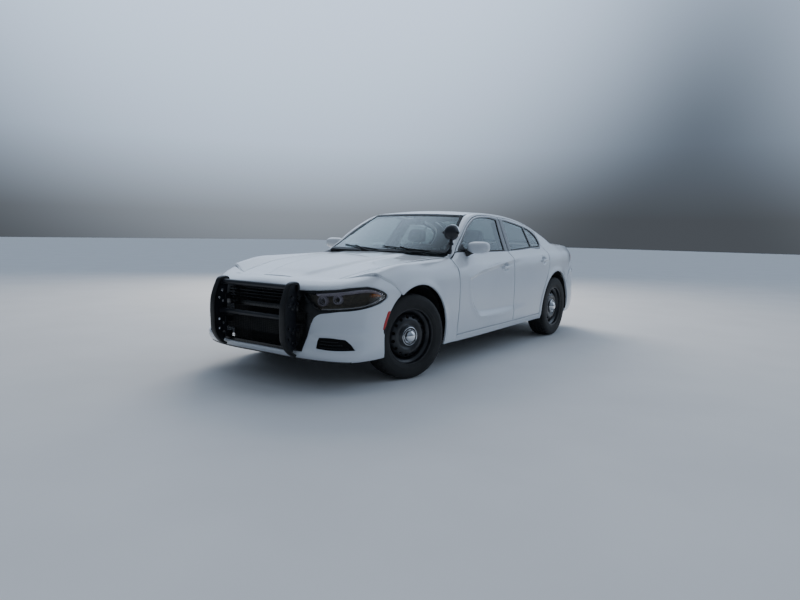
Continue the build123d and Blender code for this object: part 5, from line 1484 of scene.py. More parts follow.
# ---------------------------------------------------------------- mirrors and handles
def pod(cx, cs, cz, hx, hz, depth, rear, n=64, m=16):
    V = [(cx, cs - depth, cz)]
    for j in range(1, m + 1):
        q = j / m
        rho = math.sin(q * math.pi / 2)
        dd = depth * (1 - rho**2.6) ** 0.5
        for a in np.linspace(0, 2 * math.pi, n, endpoint=False):
            c, s_ = math.cos(a), math.sin(a)
            e = 0.62
            V.append((cx + hx * rho * abs(c) ** e * (1 if c > 0 else -1) * (1.0 if c > 0 else 0.98),
                      cs - dd, cz + hz * rho * abs(s_) ** e * (1 if s_ > 0 else -1)
                      * (1 - 0.18 * max(c, 0) * rho if s_ < 0 else 1 - 0.10 * max(-c, 0))))
    F = [(0, 1 + (k + 1) % n, 1 + k) for k in range(n)]
    for j in range(m - 1):
        for k in range(n):
            a, b = 1 + j * n + k, 1 + j * n + (k + 1) % n
            F.append((a, b, b + n, a + n))
    base = 1 + (m - 1) * n
    last = base
    for ds, sc_ in ((rear * 0.7, 0.992), (rear, 0.965), (rear, 0.90), (rear - 0.012, 0.885), (rear - 0.012, 0.0)):
        new = len(V)
        for k in range(n):
            x, s_, z = V[base + k]
            V.append((cx + (x - cx) * sc_, cs + ds, cz + (z - cz) * sc_))
        for k in range(n):
            F.append((last + k, last + (k + 1) % n, new + (k + 1) % n, new + k))
        last = new
    return np.array(V), F


shell_ = pod(0.918, 1.018, 1.098, 0.116, 0.0590, 0.070, 0.034)
pair("mirror_housing", shell_, PAINT, "front_door_left", "front_door_right", "body_paint", "mirror_left",
     "mirror_right")
a = np.linspace(0, 2 * math.pi, 48, endpoint=False)
gl = [(0.918 + 0.1010 * abs(math.cos(t)) ** 0.62 * (1 if math.cos(t) > 0 else -1),
       1.098 + 0.0500 * abs(math.sin(t)) ** 0.62 * (1 if math.sin(t) > 0 else -1)) for t in a]
gv, gf = prism(gl, "s", 1.0408, 1.0440, 0.0008)
pair("mirror_glass", (gv, gf), CHROME, "front_door_left", "front_door_right", "glass")
stem = trace([(0.812, 0.960, 1.034), (0.842, 0.985, 1.042), (0.872, 1.004, 1.056), (0.900, 1.014, 1.066)], 0.008)
base_ = bits([sweep(stem, np.interp(np.linspace(0, 1, len(stem)), [0, 0.5, 1], [0.030, 0.020, 0.017]), 20)])
sail = skin_mesh(cab, side_loop([(0.800, 1.046), (0.905, 1.052), (0.975, 1.056), (0.972, 1.130), None, (0.930, 1.108),
                                 (0.862, 1.066), None, (0.800, 1.046)]), step=0.016, deep=0.010, lift=0.004, hem=0.003)
base_ = bits([base_, sail])
pair("mirror_foot", base_, PLAST, "front_door_left", "front_door_right", "black_plastic")
for which, (hs, hz) in (("front", HANDLES[0]), ("rear", HANDLES[1])):
    ends = cab.find("sz", [(hs - 0.094, hz - 0.006), (hs + 0.094, hz + 0.010)], (1, 4))
    P = cab.pos(ends)
    k = np.linspace(0, 1, 25)
    mid = P[0] + (P[1] - P[0]) * k[:, None]
    bow = np.clip(np.minimum(k, 1 - k) / 0.16, 0, 1)
    off = 0.004 + 0.019 * (1 - (1 - bow) ** 2)
    V = []
    for i in range(25):
        w = 0.0095 + 0.0045 * min(1, min(k[i], 1 - k[i]) / 0.12)
        for b in np.linspace(0, 2 * math.pi, 14, endpoint=False):
            V.append((mid[i, 0] + off[i] + 0.0065 * math.cos(b), mid[i, 1], mid[i, 2] + w * math.sin(b)))
    F = [(i * 14 + j, i * 14 + (j + 1) % 14, (i + 1) * 14 + (j + 1) % 14, (i + 1) * 14 + j) for i in range(24)
         for j in range(14)] + [tuple(range(14))[::-1], tuple(24 * 14 + j for j in range(14))]
    pair(f"{which}_door_handle", (np.array(V), F), PAINT, f"{which}_door_left", f"{which}_door_right", "body_paint")

# ---------------------------------------------------------------- tail lamps and lid band
LT = [(3.872, 0.888), (3.90, 0.888), (3.981, 0.888), None, (3.981, 1.011), None, (3.90, 1.011), (3.872, 1.011), None,
      (3.872, 0.888)]
lt_loop = cab.find("sz", trace(LT, 0.010, closed=True), (0, 4.5))
lens_side = skin_mesh(cab, lt_loop, step=0.014, deep=0.012, lift=-0.001, hem=0.003, corner=0.004)
xe = 0.742
face_sheet = Sheet(lambda ab: np.stack([ab[:, 0], 3.985 + 0.012 * (1 - ((ab[:, 0] - 0.616) / 0.14) ** 2)
                                        - 0.010 * np.abs((ab[:, 1] - 0.95) / 0.06) ** 2, ab[:, 1]], 1))
lf = trace([(0.618, 0.887), (0.70, 0.887), (xe, 0.893), None, (xe - 0.004, 0.95), (xe - 0.014, 1.006), None,
            (0.70, 1.010), (0.618, 1.011), None, (0.618, 0.887)], 0.010, closed=True)
lens_back = skin_mesh(face_sheet, lf, step=0.014, deep=0.012, hem=0.003, out=-1, corner=0.003)
corner_sheet = Sheet(lambda ab: np.stack([ab[:, 0], np.full(len(ab), 3.9815), ab[:, 1]], 1))
corner_loop = trace([(0.6185, 0.836), (0.70, 0.838), (0.748, 0.842), None, (0.7475, 0.90), (0.744, 0.95), (0.738, 1.00),
                     (0.714, 1.036), (0.688, 1.066), (0.664, 1.088), None, (0.640, 1.097), (0.6185, 1.101), None,
                     (0.6185, 0.836)], 0.012, closed=True)
pair("rear_corner_panel", skin_mesh(corner_sheet, corner_loop, step=0.03, deep=0.016, hem=0.003, out=-1, corner=0.003),
     PAINT, "root", "root", "body_paint")
pair("tail_lamp_lens", bits([lens_side, lens_back]), RED, "root", "root", "lamp_rear", "tail_lamps")
loop_path = trace([(0.640, 0.905), (0.700, 0.905), (0.716, 0.920), (0.712, 0.978), (0.700, 0.992), (0.640, 0.993)], 0.008)
LEDM = mat("bright_red", (0.62, 0.012, 0.010), (0.75, 0.03, 0.02), 40.0, (0.12, 0.2))
led_side = cab.find("sz", trace([(3.968, 0.905), (3.905, 0.906), (3.892, 0.922), (3.892, 0.977), (3.905, 0.991),
                                 (3.968, 0.992)], 0.008), (0, 4.5))
lp1 = sweep(face_sheet.pos(loop_path) + [0, 0.0015, 0], 0.0035, 8)
lp2 = sweep(cab.pos(led_side) + cab.normal(led_side) * 0.0012, 0.0035, 8)
pair("tail_lamp_loop", bits([lp1, lp2]), LEDM, "root", "root", "lamp_rear")
band = trace([(-0.598, 0.892), (0.598, 0.892), None, (0.598, 1.006), None, (-0.598, 1.006), None, (-0.598, 0.892)],
             0.03, closed=True, smooth=False)
make("lid_lamp_band", *skin_mesh(wall_net, band, step=0.03, deep=0.006, lift=0.003, hem=0.002, out=-1, corner=0.012),
     RED, "trunk_lid", "lamp_rear")
ring = trace([(-0.585, 0.905), (0.585, 0.905), (0.590, 0.95), (0.585, 0.993), (-0.585, 0.993), (-0.590, 0.95),
              (-0.585, 0.905)], 0.02, closed=True, smooth=False)
rp_ = wall_net.pos(np.concatenate([ring, ring[:2]])) + [0, 0.005, 0]
make("lid_lamp_loop", *sweep(rp_, 0.0035, 8, cap=False), LEDM, "trunk_lid", "lamp_rear")
third = trace([(-0.13, 1.030), (0.13, 1.030), None, (0.13, 1.044), None, (-0.13, 1.044), None, (-0.13, 1.030)], 0.03,
              closed=True, smooth=False)
make("high_brake_lamp", *skin_mesh(wall_net, third, step=0.02, deep=0.004, lift=0.002, hem=0.001, out=-1,
                                   corner=0.004), RED, "trunk_lid", "lamp_rear")
tips = []
for k in (1, -1):
    tips.append(turn([(0.0405, 3.93), (0.0425, 3.94), (0.0430, 4.00), (0.0450, 4.090), (0.0450, 4.1050), (0.0430, 4.1105),
                      (0.0400, 4.1105), (0.0390, 4.1070), (0.0390, 4.1056)], 48, (k * 0.600, 0, 0.285), "y"))
make("exhaust_tips", *bits(tips), CHROME, "root", "steel_pipe")
# Near-black discs just inside the tips paint the shade down the pipes.
make("exhaust_mouths", *bits([turn([(0.0, 4.1056), (0.012, 4.1056), (0.030, 4.1058), (0.0388, 4.1066)], 32,
                                   (k * 0.600, 0, 0.285), "y") for k in (1, -1)]), SHADE_BLACK, "root", "steel_pipe")

# filler under the joints at the hood's front corners
fl = nose.find("xs", trace([(0.40, -0.684), (0.47, -0.660), (0.5605, -0.602), (0.66, -0.555), (0.76, -0.502),
                            (0.82, -0.476)], 0.02), (2.4, 6))
fl2 = nose.find("sz", trace([(-0.462, 0.897), (-0.420, 0.868), (-0.345, 0.824), (-0.304, 0.792)], 0.02), (0, 4.5))
pair("front_joint_filler", bits([sweep(nose.pos(fl) - nose.normal(fl) * 0.017, 0.013, 10),
                                 sweep(nose.pos(fl2) - nose.normal(fl2) * 0.020, 0.018, 12)]), PAINT, "root", "root",
     "body_paint")
strip = side_loop([(1.8700, 1.050), (1.8770, 1.050), None, (1.9130, 1.18), (1.9850, 1.408), None, (1.9790, 1.408), None,
                   (1.9060, 1.18), (1.8700, 1.050)])
pair("pillar_strip", skin_mesh(cab, strip, step=0.03, deep=0.0035, lift=0.0012, hem=0.0005, corner=0.0), SEAL, "root",
     "root", "black_plastic")

rl = cab.find("sz", trace([(3.452, 0.645), (3.50, 0.712), (3.566, 0.788), (3.62, 0.798), (3.72, 0.806), (3.85, 0.815),
                           (3.965, 0.822)], 0.02), (0, 4))
pair("rear_joint_filler", sweep(cab.pos(rl) - cab.normal(rl) * 0.022, 0.015, 10), PAINT, "root", "root", "body_paint")

# ---------------------------------------------------------------- finishes for the CAD parts that stay
def finish(node, m):
    for slot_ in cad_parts[node].material_slots:
        slot_.material = m


for node, m in (("floor_pan", UNDER), ("firewall", UNDER), ("dashboard", TRIM), ("parcel_shelf", CARPET),
                ("engine_block", IRON), ("front_frame", UNDER), ("rear_suspension", IRON), ("exhaust", PIPE),
                ("fuel_tank", UNDER), ("wheel_liners", PLAST), ("knuckle_left", IRON), ("knuckle_right", IRON)):
    finish(node, m)

# ---------------------------------------------------------------- cabin linings
def band_round(net, loop, d0, d1, out=1, n=3):
    """Wall that closes the space between an outer skin and the trim behind it."""
    q = tidy(loop)
    P, N = net.pos(q), net.normal(q)
    rows_ = [P - N * out * d for d in np.linspace(d0, d1, n)]
    m_ = len(q)
    inner = [P - N * out * d for d in np.linspace(d1, d0, n)]
    c = P.mean(0)
    inner = [r + (c - r) * np.array([0, 0.012, 0.012]) for r in inner]
    V = np.concatenate(rows_ + inner)
    F = [(k * m_ + i, k * m_ + (i + 1) % m_, (k + 1) * m_ + (i + 1) % m_, (k + 1) * m_ + i)
         for k in range(2 * n - 1) for i in range(m_)]
    F += [((2 * n - 1) * m_ + i, (2 * n - 1) * m_ + (i + 1) % m_, (i + 1) % m_, i) for i in range(m_)]
    return V, F


for which, lo, hi, pts in (
        ("front", 0, 0, [(0.690, 0.330), (1.20, 0.336), (1.826, 0.340), None, (1.830, 0.60), (1.836, 0.90),
                         (1.838, 1.032), None, (1.60, 1.030), (1.20, 1.024), (0.90, 1.016), (0.80, 0.995),
                         (0.720, 0.975), (0.690, 0.950), None, (0.690, 0.60), (0.690, 0.330)]),
        ("rear", 0, 0, [(1.882, 0.340), (2.20, 0.346), (2.535, 0.352), None, (2.545, 0.44), (2.566, 0.530),
                        (2.612, 0.634), (2.676, 0.726), (2.738, 0.806), (2.782, 0.886), (2.798, 0.96),
                        (2.800, 1.066), None, (2.50, 1.056), (2.20, 1.042), (1.898, 1.034), None, (1.890, 0.90),
                        (1.884, 0.60), (1.882, 0.340)])):
    cab.feature = None
    lp_ = side_loop(pts)
    bodies = (f"{which}_door_left", f"{which}_door_right")
    panel = skin_mesh(cab, lp_, step=0.05, deep=0.010, lift=-0.058, hem=0.004, corner=0.02)
    pair(f"{which}_door_panel", panel, TRIM, *bodies, "trim_plastic")
    pair(f"{which}_door_jamb", band_round(cab, lp_, 0.014, 0.062), PAINT, *bodies, "body_paint")
    s0, s1 = (1.02, 1.60) if which == "front" else (2.02, 2.46)
    ar = cab.find("sz", trace([(s0, 0.735), ((s0 + s1) / 2, 0.742), (s1, 0.748)], 0.02), (0, 4.5))
    c_ = cab.pos(ar) - cab.normal(ar) * 0.084
    k_ = np.linspace(0, 1, len(c_))
    rest_ = sweep(c_, 0.026 * np.clip(np.minimum(k_, 1 - k_) / 0.10, 0.35, 1) ** 0.5, 16)
    pair(f"{which}_door_armrest", rest_, VINYL, *bodies, "trim_plastic")
    pk_ = cab.find("sz", trace([(s0 - 0.05, 0.44), (s1 + 0.02, 0.445)], 0.03), (0, 4.5))
    pair(f"{which}_door_pocket", sweep(cab.pos(pk_) - cab.normal(pk_) * 0.072, 0.020, 12), TRIM, *bodies, "trim_plastic")
    cab.feature = side_relief
    # lining of the window frame
    fr_in = skin_mesh(cab, f_ring if which == "front" else r_ring, [f_light if which == "front" else r_light],
                      step=0.03, deep=0.004, lift=-0.0175, hem=0.001, corner=0.0)
    pair(f"{which}_door_frame_lining", fr_in, TRIM, *bodies, "trim_plastic")

# centre pillars behind the door edges
cab.feature = None
post = side_loop([(1.812, 0.350), (1.920, 0.350), None, (1.924, 0.70), (1.930, 1.060), None, (1.812, 1.060), None,
                  (1.808, 0.70), (1.812, 0.350)])
pair("centre_pillar_lower", skin_mesh(cab, post, step=0.03, deep=0.034, lift=-0.074, hem=0.008, corner=0.012), JAMB, "root",
     "root", "structure")
post = side_loop([(1.832, 1.000), (1.936, 1.000), None, (1.948, 1.10), (1.975, 1.22), (2.022, 1.395), None,
                  (1.930, 1.395), None, (1.880, 1.22), (1.848, 1.10), (1.832, 1.000)])
pair("centre_pillar_upper", skin_mesh(cab, post, step=0.03, deep=0.046, lift=-0.034, hem=0.008, corner=0.012), TRIM, "root",
     "root", "trim_plastic")
cab.feature = side_relief

# inner pillars and roof rails: the side skin again, set in, above the belt
sv, sf = skin_mesh(cab, side_out, [grown(FRONT_DOOR, g + 0.004), grown(REAR_DOOR, g + 0.004)], deep=0.004, lift=-0.0215,
                   hem=0.001, corner=0.0, step=0.03)
sv = np.asarray(sv)
keep_f = [f for f in sf if sv[list(f), 2].mean() > 1.02 and 0.72 < sv[list(f), 1].mean() < 3.20]
used = sorted({i for f in keep_f for i in f})
remap = {u: i for i, u in enumerate(used)}
pair("pillar_lining", (sv[used], [tuple(remap[i] for i in f) for f in keep_f]), LINING, "root", "root", "trim_plastic")
hl_half = np.concatenate([[(1.335, WM)], plan(cab, trace([(0.02, 1.335), (0.30, 1.345), (0.530, 1.375), None,
                          (0.552, 1.60), (0.552, 2.0), (0.556, 2.30), (0.560, 2.50), None, (0.40, 2.545),
                          (0.20, 2.555), (0.02, 2.560)], 0.03), (5.0, 7)), [(2.560, WM)]])
make("headliner", *skin_mesh(cab, whole(hl_half), deep=0.006, lift=-0.030, hem=0.002, step=0.05), LINING, "root",
     "trim_plastic")
# hood and lid linings
WM_keep, WM = WM, WN
hl = shrink(tidy(whole(hood_half) if area(whole(hood_half)) > 0 else whole(hood_half)[::-1]), 0.055)
make("hood_lining", *skin_mesh(nose, hl, step=0.04, deep=0.008, lift=-0.0215, hem=0.003, corner=0.03), CARPET, "hood",
     "black_plastic")
WM = WM_keep
ll = shrink(tidy(whole(lid_half) if area(whole(lid_half)) > 0 else whole(lid_half)[::-1]), 0.040)
make("lid_lining", *skin_mesh(cab, ll, step=0.04, deep=0.006, lift=-0.0175, hem=0.003, corner=0.02), CARPET, "trunk_lid",
     "trim_plastic")

# carpets laid over the CAD floor
from mathutils.bvhtree import BVHTree


def drop(nodes_, x0, x1, s0, s1, z_from, step, up=0.006):
    vs, fs = [], []
    for nme in nodes_:
        me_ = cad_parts[nme].data
        b0 = len(vs)
        vs += [tuple(v.co) for v in me_.vertices]
        fs += [tuple(b0 + i for i in p.vertices) for p in me_.polygons]
    tree = BVHTree.FromPolygons(vs, fs)
    xs, ss = np.arange(x0, x1 + 1e-6, step), np.arange(s0, s1 + 1e-6, step)
    H = np.full((len(ss), len(xs)), np.nan)
    for i, s_ in enumerate(ss):
        for j, x_ in enumerate(xs):
            hit = tree.ray_cast(Vector((x_, s_ - MID, z_from)), Vector((0, 0, -1)))
            if hit[0] is not None:
                H[i, j] = hit[0].z + up
    V, F, idx = [], [], {}
    for i in range(len(ss)):
        for j in range(len(xs)):
            if not np.isnan(H[i, j]):
                idx[i, j] = len(V)
                V.append((xs[j], ss[i], H[i, j]))
    for i in range(len(ss) - 1):
        for j in range(len(xs) - 1):
            q = [(i, j), (i, j + 1), (i + 1, j + 1), (i + 1, j)]
            if all(k in idx for k in q):
                F.append(tuple(idx[k] for k in q))
    n0 = len(V)
    edges = {}
    for f in F:
        for a_, b_ in zip(f, f[1:] + f[:1]):
            edges[(a_, b_)] = edges.get((a_, b_), 0) + 1
    V2 = V + [(x_, s_, z_ - 0.004) for x_, s_, z_ in V]
    F2 = list(F) + [tuple(n0 + i for i in f[::-1]) for f in F]
    for a_, b_ in edges:
        if (b_, a_) not in edges:
            F2.append((b_, a_, n0 + a_, n0 + b_))
    return V2, F2


make("cabin_carpet", *drop(["floor_pan"], -0.74, 0.74, 0.76, 2.66, 0.62, 0.028), CARPET, "root", "trim_plastic")
make("trunk_carpet", *drop(["floor_pan"], -0.60, 0.60, 2.80, 3.86, 0.86, 0.03), CARPET, "root", "trim_plastic")

# ---------------------------------------------------------------- dashboard, wheel, console
def dash_profile(x):
    u = min(1.0, abs(x) / 0.68)
    hood_ = math.exp(-((x - 0.39) / 0.15) ** 4)
    mid_ = math.exp(-((x) / 0.20) ** 6)
    side = math.exp(-((abs(x) - 0.40) / 0.22) ** 4)
    s_g = 0.580 + 0.185 * u**2.1
    pts = [(s_g, 1.000), (s_g + 0.06, 0.992), (0.86 + 0.02 * u, 0.984 + 0.012 * hood_), (0.930, 0.976 + 0.020 * hood_),
           (0.972 + 0.030 * hood_, 0.958 + 0.022 * hood_), (0.982 + 0.030 * hood_, 0.930 + 0.030 * hood_),
           (0.966 + 0.018 * mid_ - 0.020 * hood_, 0.905), (0.968 + 0.026 * mid_ - 0.020 * hood_, 0.840),
           (0.990 + 0.020 * mid_, 0.760), (1.000 + 0.030 * mid_, 0.700), (0.965 + 0.050 * mid_, 0.620),
           (0.90 + 0.06 * mid_, 0.575), (0.80, 0.565), (0.735, 0.60)]
    p = np.array(pts)
    if u > 0.93:
        p[:, 0] = 0.80 + (p[:, 0] - 0.80) * (1 - 0.12 * (u - 0.93) / 0.07)
    return p


def dense(p, n=64):
    t = np.concatenate([[0], np.cumsum(np.linalg.norm(np.diff(p, axis=0), axis=1))])
    f = spline(t, p)
    return f(np.linspace(0, t[-1], n))


xs_ = np.linspace(-0.70, 0.70, 71)
V_ = np.concatenate([np.column_stack([np.full(64, x), dense(dash_profile(x))]) for x in xs_])
F_ = [(i * 64 + j, i * 64 + (j + 1) % 64, (i + 1) * 64 + (j + 1) % 64, (i + 1) * 64 + j) for i in range(70)
      for j in range(64)] + [tuple(range(64))[::-1], tuple(70 * 64 + j for j in range(64))]
make("dash_body", V_, F_, TRIM, "root", "trim_plastic", "dashboard", sharp=50)


def rounded(cx, cz, hx, hz, r, n=6):
    out = []
    for sx_, sz_, a0 in ((1, 1, 0), (-1, 1, 90), (-1, -1, 180), (1, -1, 270)):
        for a_ in np.radians(np.linspace(a0, a0 + 90, n)):
            out.append((cx + sx_ * (hx - r) + r * math.cos(a_), cz + sz_ * (hz - r) + r * math.sin(a_)))
    return out


dets, glossy, metal_ = [], [], []
for cx in (-0.60, -0.165, 0.165, 0.60):
    dets.append(prism(rounded(cx, 0.872, 0.056, 0.030, 0.012), "s", 0.945, 0.984, 0.003))
    for k in range(5):
        metal_.append(prism(rounded(cx, 0.852 + 0.010 * k, 0.050, 0.0018, 0.0015, 3), "s", 0.983, 0.988, 0.0004))
glossy.append(prism(rounded(0.0, 0.862, 0.100, 0.052, 0.010), "s", 0.960, 1.004, 0.003))
glossy.append(prism(rounded(0.39, 0.905, 0.130, 0.045, 0.030), "s", 0.938, 0.962, 0.003))
for cx in (-0.05, 0.05):
    metal_.append(turn([(0.0, 1.052), (0.014, 1.051), (0.017, 1.046), (0.017, 1.026)], 24, (cx, 0, 0.745), "y"))
for k in range(6):
    dets.append(prism(rounded(-0.075 + 0.03 * k, 0.700, 0.011, 0.008, 0.003, 3), "s", 1.010, 1.040, 0.001))
make("dash_vents", *bits(dets), PLAST, "root", "trim_plastic")
make("dash_screens", *bits(glossy), GLOSS, "root", "trim_plastic")
make("dash_knobs", *bits(metal_), ALU, "root", "trim_plastic")
cons = prism([(0.93, 0.30), (1.63, 0.30), (1.63, 0.560), (1.58, 0.585), (1.36, 0.590), (1.28, 0.550), (1.10, 0.560),
              (1.02, 0.640), (0.95, 0.660)], "x", -0.115, 0.115, 0.018)
make("console", *cons, TRIM, "root", "trim_plastic")
shift = sweep(np.array([[0.0, 1.17, 0.55], [0.0, 1.165, 0.60], [0.0, 1.160, 0.640], [0.0, 1.158, 0.665]]),
              [0.016, 0.012, 0.020, 0.012], 20)
boxes = prism(rounded(0.0, 1.45, 0.085, 0.10, 0.02), "z", 0.585, 0.606, 0.006)
make("console_controls", *bits([shift, boxes]), PLAST, "root", "trim_plastic")

ca, sa = math.cos(math.radians(24)), math.sin(math.radians(24))
SW = np.array([0.390, 1.120, 0.880])
SA = np.array([0, ca, sa])
SU = np.array([0, -sa, ca])


def on_wheel(p):
    """Local (across, up in the rim's plane, towards the driver) to the car."""
    p = np.atleast_2d(p)
    return SW + p[:, :1] * [1, 0, 0] + p[:, 1:2] * SU + p[:, 2:3] * SA


a_ = np.linspace(0, 2 * math.pi, 97)
rim_ = sweep(on_wheel(np.stack([0.173 * np.cos(a_), 0.173 * np.sin(a_), np.zeros(97)], 1)), 0.0150, 16, cap=False)
hub_ = []
for ang_ in (8, 172, 270):
    a1 = math.radians(ang_)
    q = np.array([[0.04 * math.cos(a1), 0.04 * math.sin(a1) - 0.006, -0.012], [0.10 * math.cos(a1), 0.10 * math.sin(a1), -0.012],
                  [0.165 * math.cos(a1), 0.165 * math.sin(a1), -0.003]])
    for off in (-0.010, 0.010):
        side_v = np.array([-math.sin(a1), math.cos(a1), 0]) * off
        hub_.append(sweep(on_wheel(q + side_v), [0.016, 0.012, 0.010], 14))


def blob(half, e=(0.35, 0.35), nu=40, nv=24, shape=None):
    """Rounded box about the origin with quads all over, bent by shape(points)."""
    V, F = [], []
    pw_ = lambda c, k: math.copysign(abs(c) ** k, c)
    for j in range(1, nv):
        b = -math.pi / 2 + math.pi * j / nv
        for i in range(nu):
            a = 2 * math.pi * i / nu
            V.append((half[0] * pw_(math.cos(b), e[1]) * pw_(math.cos(a), e[0]),
                      half[1] * pw_(math.cos(b), e[1]) * pw_(math.sin(a), e[0]), half[2] * pw_(math.sin(b), e[1])))
    bot, top = len(V), len(V) + 1
    V += [(0, 0, -half[2]), (0, 0, half[2])]
    for j in range(nv - 2):
        for i in range(nu):
            k = (i + 1) % nu
            F.append((j * nu + i, j * nu + k, (j + 1) * nu + k, (j + 1) * nu + i))
    for i in range(nu):
        k = (i + 1) % nu
        F.append((bot, k, i))
        F.append((top, (nv - 2) * nu + i, (nv - 2) * nu + k))
    V = np.array(V)
    return (shape(V) if shape else V), F


cv_, cf_ = blob((0.072, 0.058, 0.028), (0.6, 0.7))
hub_.append((on_wheel(cv_ + [0, -0.004, 0.004]), cf_))
col = sweep(on_wheel([[0, 0, -0.02], [0, 0, -0.05], [0, 0, -0.085], [0, 0, -0.09]]), [0.042, 0.040, 0.036, 0.020], 24)
make("steering_rim", *bits([rim_]), VINYL, "steering_wheel", "trim_plastic", "steering_wheel")
make("steering_hub", *bits(hub_ + [col]), TRIM, "steering_wheel", "trim_plastic")
shroud_v, shroud_f = blob((0.062, 0.050, 0.085), (0.6, 0.45))
make("column_shroud", on_wheel(shroud_v + [0, -0.012, -0.165]), shroud_f, TRIM, "root", "trim_plastic")
stalks = [sweep(on_wheel([[k * 0.05, 0.0, -0.115], [k * 0.12, 0.012, -0.10], [k * 0.165, 0.02, -0.092]]),
                [0.007, 0.006, 0.008], 12) for k in (1, -1)]
make("column_stalks", *bits(stalks), PLAST, "root", "trim_plastic")
mv, mf = blob((0.120, 0.018, 0.034), (0.5, 0.5))
mv = mv + [0.0, 1.285, 1.345]
stem_ = sweep(np.array([[0, 1.275, 1.36], [0, 1.262, 1.385], [0, 1.258, 1.402]]), 0.007, 10)
make("inside_mirror", *bits([(mv, mf), stem_]), PLAST, "root", "trim_plastic")

# ---------------------------------------------------------------- seats
def settle(name, vf, body, stands, swell, material=None, seams=(), voxel=0.0058, seam_depth=0.006, width=0.0055,
           most=28000):
    """Cushion: rounded start form, remeshed, blown up a little by cloth simulation, then sewn channels pressed in."""
    v = np.asarray(vf[0], float) - [0, MID, 0]
    me = bpy.data.meshes.new(name)
    me.from_pydata([tuple(p) for p in v], [], [tuple(int(i) for i in f) for f in vf[1]])
    me.validate()
    ob = bpy.data.objects.new(name, me)
    bpy.context.scene.collection.objects.link(ob)
    m = ob.modifiers.new("r", "REMESH")
    m.mode = "VOXEL"
    m.voxel_size = voxel
    me2 = bpy.data.meshes.new_from_object(ob.evaluated_get(bpy.context.evaluated_depsgraph_get()))
    ob.modifiers.clear()
    ob.data = me2
    n = len(me2.vertices)
    base = np.zeros(n * 3)
    me2.vertices.foreach_get("co", base)
    base = base.reshape(-1, 3)
    pos = base
    c = ob.modifiers.new("c", "CLOTH")
    st = c.settings
    st.quality = 4
    st.mass = 0.3
    st.use_pressure = True
    st.uniform_pressure_force = 4.0
    st.effector_weights.gravity = 0.0
    c.point_cache.frame_start, c.point_cache.frame_end = 1, 20
    for fr_ in range(1, 21):
        bpy.context.scene.frame_set(fr_)
    res = bpy.data.meshes.new_from_object(ob.evaluated_get(bpy.context.evaluated_depsgraph_get()))
    sim = np.zeros(n * 3)
    res.vertices.foreach_get("co", sim)
    sim = sim.reshape(-1, 3)
    d = sim - base
    ln = np.linalg.norm(d, axis=1, keepdims=True)
    pos = base + d * np.minimum(1.0, swell / np.maximum(ln, 1e-9))
    ob.modifiers.clear()
    bpy.context.scene.frame_set(1)
    me2.vertices.foreach_set("co", pos.reshape(-1))
    me2.update()
    s = ob.modifiers.new("s", "SUBSURF")
    s.levels = s.render_levels = 1
    me3 = bpy.data.meshes.new_from_object(ob.evaluated_get(bpy.context.evaluated_depsgraph_get()))
    ob.modifiers.clear()
    n = len(me3.vertices)
    P, N = np.zeros(n * 3), np.zeros(n * 3)
    me3.vertices.foreach_get("co", P)
    me3.vertices.foreach_get("normal", N)
    P, N = P.reshape(-1, 3), N.reshape(-1, 3)
    Q = P + [0, MID, 0]
    press = np.zeros(n)
    for fn in seams:
        d, on = fn(Q, N)
        press = np.maximum(press, np.exp(-(d / width) ** 2) * on)
    P = P - N * (press * seam_depth)[:, None]
    me3.vertices.foreach_set("co", P.reshape(-1))
    ob.data = me3
    tris = 2 * len(me3.polygons)
    most = 14000 if "headrest" in name else most
    if tris > most:
        dc = ob.modifiers.new("d", "DECIMATE")
        dc.ratio = most / tris
        me3 = bpy.data.meshes.new_from_object(ob.evaluated_get(bpy.context.evaluated_depsgraph_get()))
        ob.modifiers.clear()
        ob.data = me3
    me3.name = name
    me3.materials.clear()
    me3.materials.append(material or FABRIC)
    me3.update()
    me3.shade_smooth()
    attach(ob, body)
    if stands:
        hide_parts(*stands)
    ALL.append(ob)
    return ob


def twin(ob, name):
    """The same cushion on the other side of the car."""
    me_ = ob.data.copy()
    me_.name = name
    n_ = len(me_.vertices)
    co = np.zeros(n_ * 3)
    me_.vertices.foreach_get("co", co)
    co = co.reshape(-1, 3)
    co[:, 0] *= -1
    me_.vertices.foreach_set("co", co.reshape(-1))
    me_.flip_normals()
    me_.update()
    o = bpy.data.objects.new(name, me_)
    bpy.context.scene.collection.objects.link(o)
    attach(o, "root")
    ALL.append(o)
    return o


CX = 0.385


def cushion_shape(p):
    p = p.copy()
    y = p[:, 1] / 0.25
    side_ = np.clip((np.abs(p[:, 0]) - 0.150) / 0.07, 0, 1)
    p[:, 2] += np.where(p[:, 2] > 0, 0.030 * side_ * side_ * (3 - 2 * side_), 0)
    p[:, 2] += 0.018 * (1 - (y + 1) / 2) + np.where(p[:, 2] < 0, 0.03 * np.clip(y, 0, 1), 0)
    p[:, 2] -= 0.10 * np.clip(-y - 0.75, 0, 1) ** 1.5
    p[:, 0] *= 1 - 0.05 * np.clip(y, 0, 1)
    return p + [CX, 1.565, 0.510]


def back_shape(p):
    p = p.copy()
    h = (p[:, 2] + 0.31) / 0.62
    side_ = np.clip((np.abs(p[:, 0]) - 0.145) / 0.07, 0, 1)
    p[:, 1] -= np.where(p[:, 1] < 0, 0.040 * side_**1.5 * (1 - 0.6 * h), 0)
    p[:, 0] *= 1 + 0.04 * np.sin(h * math.pi) - 0.22 * np.clip(h - 0.62, 0, 1) ** 1.3
    p[:, 1] += 0.025 * (h - 0.35) ** 2
    t = math.radians(20)
    y, z = p[:, 1].copy(), p[:, 2].copy()
    p[:, 1] = y * math.cos(t) + z * math.sin(t)
    p[:, 2] = -y * math.sin(t) + z * math.cos(t)
    return p + [CX, 1.835 - 0.02, 0.835]


